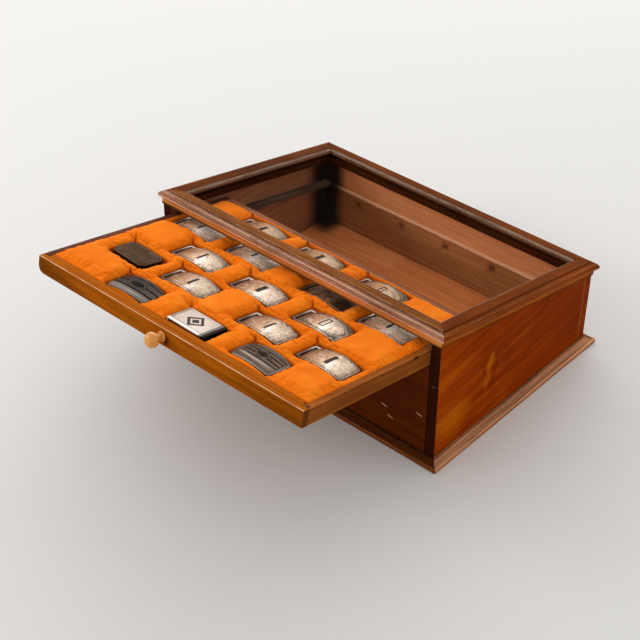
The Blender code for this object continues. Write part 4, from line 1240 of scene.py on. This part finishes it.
# Painted shadow on the right side's top, where it goes in under the case's top frame
tray_spot(tray, (0.1402, 0.1270, 0.0133), (0.0030, 0.0052, 0.0020), 0.95, (0.012, 0.005, 0.002))
tray_spot(tray, (0.1374, 0.0070, 0.0144), (0.0030, 0.0020, 0.0022), 0.9, CHIP)
dress(tray.lay(0.008), "tray_side_right", "tray_bottom")

# The left side's tones are the tray's wood darkened by painted shade
tones = ((0.085, 0.026, 0.012), (0.145, 0.046, 0.022), (0.20, 0.070, 0.034))
shaded_left_tray = wood("shaded_tray_left_wood", tones, turn=ALONG_TRAY, roughness=(0.45, 0.6), contrast=0.7)
dress(shaded_left_tray.lay(0.01), "tray_side_left")
dress(glass_finish(), "glass_pane")

# ---------------------------------------------------------------- mouldings, knob, buckles, velvet

# Stains by side, with painted light: low, ridge, round, groove and flat. Ridges carry a painted
# highlight and grooves painted shade, and each side is painted lighter or darker as light falls
# on it: the front rail lit, the front plinth shaded.
NONE = (0, 0, 0)
TOP_STAINS_AND_LIGHT = (
    ((0.56, 0.205, 0.038), (0.50, 0.25, 0.14), (0.27, 0.105, 0.052), (0.03, 0.008, 0.002),
     (0.235, 0.073, 0.011)),
    ((0.38, 0.085, 0.003), (0.27, 0.066, 0.010), (0.205, 0.042, 0.004), (0.11, 0.024, 0.002),
     (0.175, 0.035, 0.002)),
    ((0.30, 0.07, 0.006), (0.30, 0.09, 0.02), (0.17, 0.04, 0.006), (0.05, 0.012, 0.002),
     (0.155, 0.034, 0.002)),
    ((0.26, 0.06, 0.006), (0.26, 0.08, 0.02), (0.18, 0.04, 0.008), (0.04, 0.010, 0.002),
     (0.105, 0.024, 0.002)),
)
PLINTH_BEHIND = ((0.25, 0.07, 0.02), (0.35, 0.15, 0.07), (0.25, 0.08, 0.03), (0.05, 0.015, 0.005))
PLINTH_STAINS_AND_LIGHT = (
    ((0.15, 0.040, 0.011), (0.20, 0.060, 0.018), (0.075, 0.018, 0.003), (0.006, 0.002, 0.001)),
    ((0.40, 0.14, 0.035), (0.60, 0.30, 0.16), (0.45, 0.20, 0.095), (0.10, 0.03, 0.008)),
    PLINTH_BEHIND,
    PLINTH_BEHIND,
)
BEAD_STAINS_AND_HIGHLIGHT = ((NONE, (0.22, 0.13, 0.085), (0.16, 0.065, 0.030), (0.03, 0.012, 0.006)),) * 4

# The mouldings' pale flecks are wear and a painted highlight, strongest on the front rail
worn_highlit_front = moulding_finish("worn_highlit_front_rail", 0.80, (0.76, 0.52, 0.40))
rubbed_highlit_rail = moulding_finish("rubbed_highlit_rail", 0.30, (0.50, 0.24, 0.13))
worn_highlit_plinth = moulding_finish("worn_highlit_plinth", 0.55, (0.62, 0.38, 0.26))
worn_highlit_bead = moulding_finish("worn_highlit_bead", 0.50, (0.52, 0.43, 0.35))
shaded_plinth = moulding_finish("shaded_plinth", 0.20, (0.30, 0.13, 0.06))
plinth_finishes = (shaded_plinth, worn_highlit_plinth, worn_highlit_plinth, worn_highlit_plinth)
top_finishes = (worn_highlit_front, rubbed_highlit_rail, rubbed_highlit_rail, rubbed_highlit_rail)
case_plane = Matrix.Identity(4)
rails("plinth", plinth_section(), CASE_DEPTH, case_plane, PLINTH_STAINS_AND_LIGHT, plinth_finishes)
rails("top_rail", frame_section(), SLOPE_LENGTH, TOP_PLANE, TOP_STAINS_AND_LIGHT, top_finishes)
rails("glazing_bead", bead_section(), SLOPE_LENGTH, TOP_PLANE, BEAD_STAINS_AND_HIGHLIGHT, (worn_highlit_bead,) * 4)

tones = ((0.54, 0.20, 0.030), (0.78, 0.31, 0.048), (0.92, 0.42, 0.080))
turning = (0, 0, math.radians(90))
knob_wood = wood("knob_wood_varnish", tones, 0.003, turning, (0.12, 0.20), 0.6, ring_share=0.03)
knob(knob_wood.lay(0.5))

# Painted shade for plates under the glass: darker and warmer, with little highlight
SHADE_UNDER_GLASS = {"lift": (0.79, 0.72, 0.63), "bright": 0.05, "left_back": 0.55}
FINISHES = {
    "silver": lay_silver(silver_finish("worn_silver_plate")),
    # Painted light: a little lighter, as the third row, where this plate lies
    "framed": lay_silver(
        silver_finish("framed_silver_plate", framed=True, lift=(1.05, 1.08, 1.10), left_back=0.4)
    ),
    "dark": dark_finish(
        "dark_worn_plate", ((0.09, 0.045, 0.024), (0.34, 0.19, 0.115)),
        (0.34, 0.24, 0.17), draw_edge,
    ),
    "striped": dark_finish(
        "striped_grey_metal", ((0.045, 0.034, 0.028), (0.110, 0.085, 0.070)),
        (0.20, 0.17, 0.15), draw_stripes, metallic=0.15,
    ),
    "engraved": dark_finish(
        "engraved_dark_metal", ((0.085, 0.062, 0.046), (0.20, 0.150, 0.118)),
        (0.40, 0.36, 0.32), draw_panel,
    ),
    "octagonal": dark_finish(
        "dark_brown_metal", ((0.060, 0.032, 0.017), (0.115, 0.068, 0.042)),
        (0.10, 0.06, 0.04), draw_block, (0.40, 0.55), 0.2,
    ),
    "plain_box": box_finish(),
}
# Painted light by row, toned as photographed: the third lighter, the fourth much lighter to make up
# for the frame's shade, and the fifth darker as painted shade under glass
ROW_FINISHES = {
    ("3", "silver"): lay_silver(
        silver_finish("lit_middle_silver_plate", lift=(1.14, 1.16, 1.18), left_back=0.6)
    ),
    ("4", "silver"): lay_silver(silver_finish("lightened_silver_plate_in_shade", lift=(1.85, 1.95, 2.0)), 0.25),
    ("5", "silver"): lay_silver(silver_finish("shaded_silver_plate_under_glass", **SHADE_UNDER_GLASS)),
    ("5", "framed"): lay_silver(silver_finish("shaded_framed_plate_under_glass", framed=True, **SHADE_UNDER_GLASS)),
}
BUILDERS = {"plain_box": box_buckle, "octagonal": octagonal_buckle}
for name, (kind, *_) in BUCKLES.items():
    row = name.split("_")[1]
    BUILDERS.get(kind, curved_buckle)(name, ROW_FINISHES.get((row, kind), FINISHES[kind]))

cushion(velvet_finish())

# ---------------------------------------------------------------- floor, light and camera

pale_floor = Finish("pale_floor")
pale_floor.color, pale_floor.gloss = (0.80, 0.80, 0.80), 0.8
shape = bmesh.new()
bmesh.ops.create_grid(shape, x_segments=1, y_segments=1, size=6)
floor_mesh = meshed("floor", shape)
shape.free()
floor_mesh.materials.append(pale_floor.lay())
floor = put_up("floor", floor_mesh)

world = bpy.data.worlds.new("studio")
bpy.context.scene.world = world
world.use_nodes = True
tree = world.node_tree
soft_white = tree.nodes["Background"]
put(soft_white.inputs["Color"], (1.0, 0.98, 0.95))
put(soft_white.inputs["Strength"], 0.66)
white = add(tree, "ShaderNodeBackground", {"Color": (1.0, 1.0, 1.0), "Strength": 1.0})
path = tree.nodes.new("ShaderNodeLightPath")
rays = [Value(path.outputs[f"Is {ray} Ray"]) for ray in ("Camera", "Glossy", "Transmission")]
sockets = {0: rays[0].most(*rays[1:]), 1: Value(soft_white.outputs[0]), 2: white}
chosen = add(tree, "ShaderNodeMixShader", sockets)
put(tree.nodes["World Output"].inputs["Surface"], chosen)


def lamp(name, spot, aim, size, power):
    data = bpy.data.lights.new(name, "AREA")
    data.shape = "RECTANGLE"
    data.size, data.size_y = size
    data.energy = power
    data.color = (1.0, 0.98, 0.95)
    held = put_up(name, data)
    held.location = spot
    held.rotation_euler = (Vector(aim) - Vector(spot)).to_track_quat("-Z", "Y").to_euler()


lamp("back_left_softbox", (-0.95, 1.55, 1.05), (0, -0.05, 0.08), (3.0, 1.9), 25)
lamp("front_left_softbox", (-1.2, -1.1, 0.9), (0, -0.1, 0.06), (0.6, 0.5), 9)

AZIMUTH, ELEVATION, ROLL = (math.radians(angle) for angle in (41.47, 37.21, 0.35))
SEEN_FROM = Vector((0.6468, -0.8046, 0.7908))
FOCAL_PIXELS, PICTURE_WIDTH, SENSOR = 1457.79, 640, 36.0
level = math.cos(ELEVATION)
backward = Vector((math.sin(AZIMUTH) * level, -math.cos(AZIMUTH) * level, math.sin(ELEVATION)))
right = Vector((math.cos(AZIMUTH), math.sin(AZIMUTH), 0))
up = backward.cross(right)
rolled_right = right * math.cos(ROLL) + up * math.sin(ROLL)
rolled_up = up * math.cos(ROLL) - right * math.sin(ROLL)
axes = Matrix((rolled_right, rolled_up, backward)).transposed().to_4x4()
camera_data = bpy.data.cameras.new("photo_view")
camera_data.sensor_width = SENSOR
camera_data.lens = FOCAL_PIXELS * SENSOR / PICTURE_WIDTH
camera_data.clip_start = 0.05
camera = put_up("photo_view", camera_data)
camera.matrix_world = Matrix.Translation(SEEN_FROM) @ axes
bpy.context.scene.camera = camera
bpy.context.scene.view_settings.view_transform = "Standard"
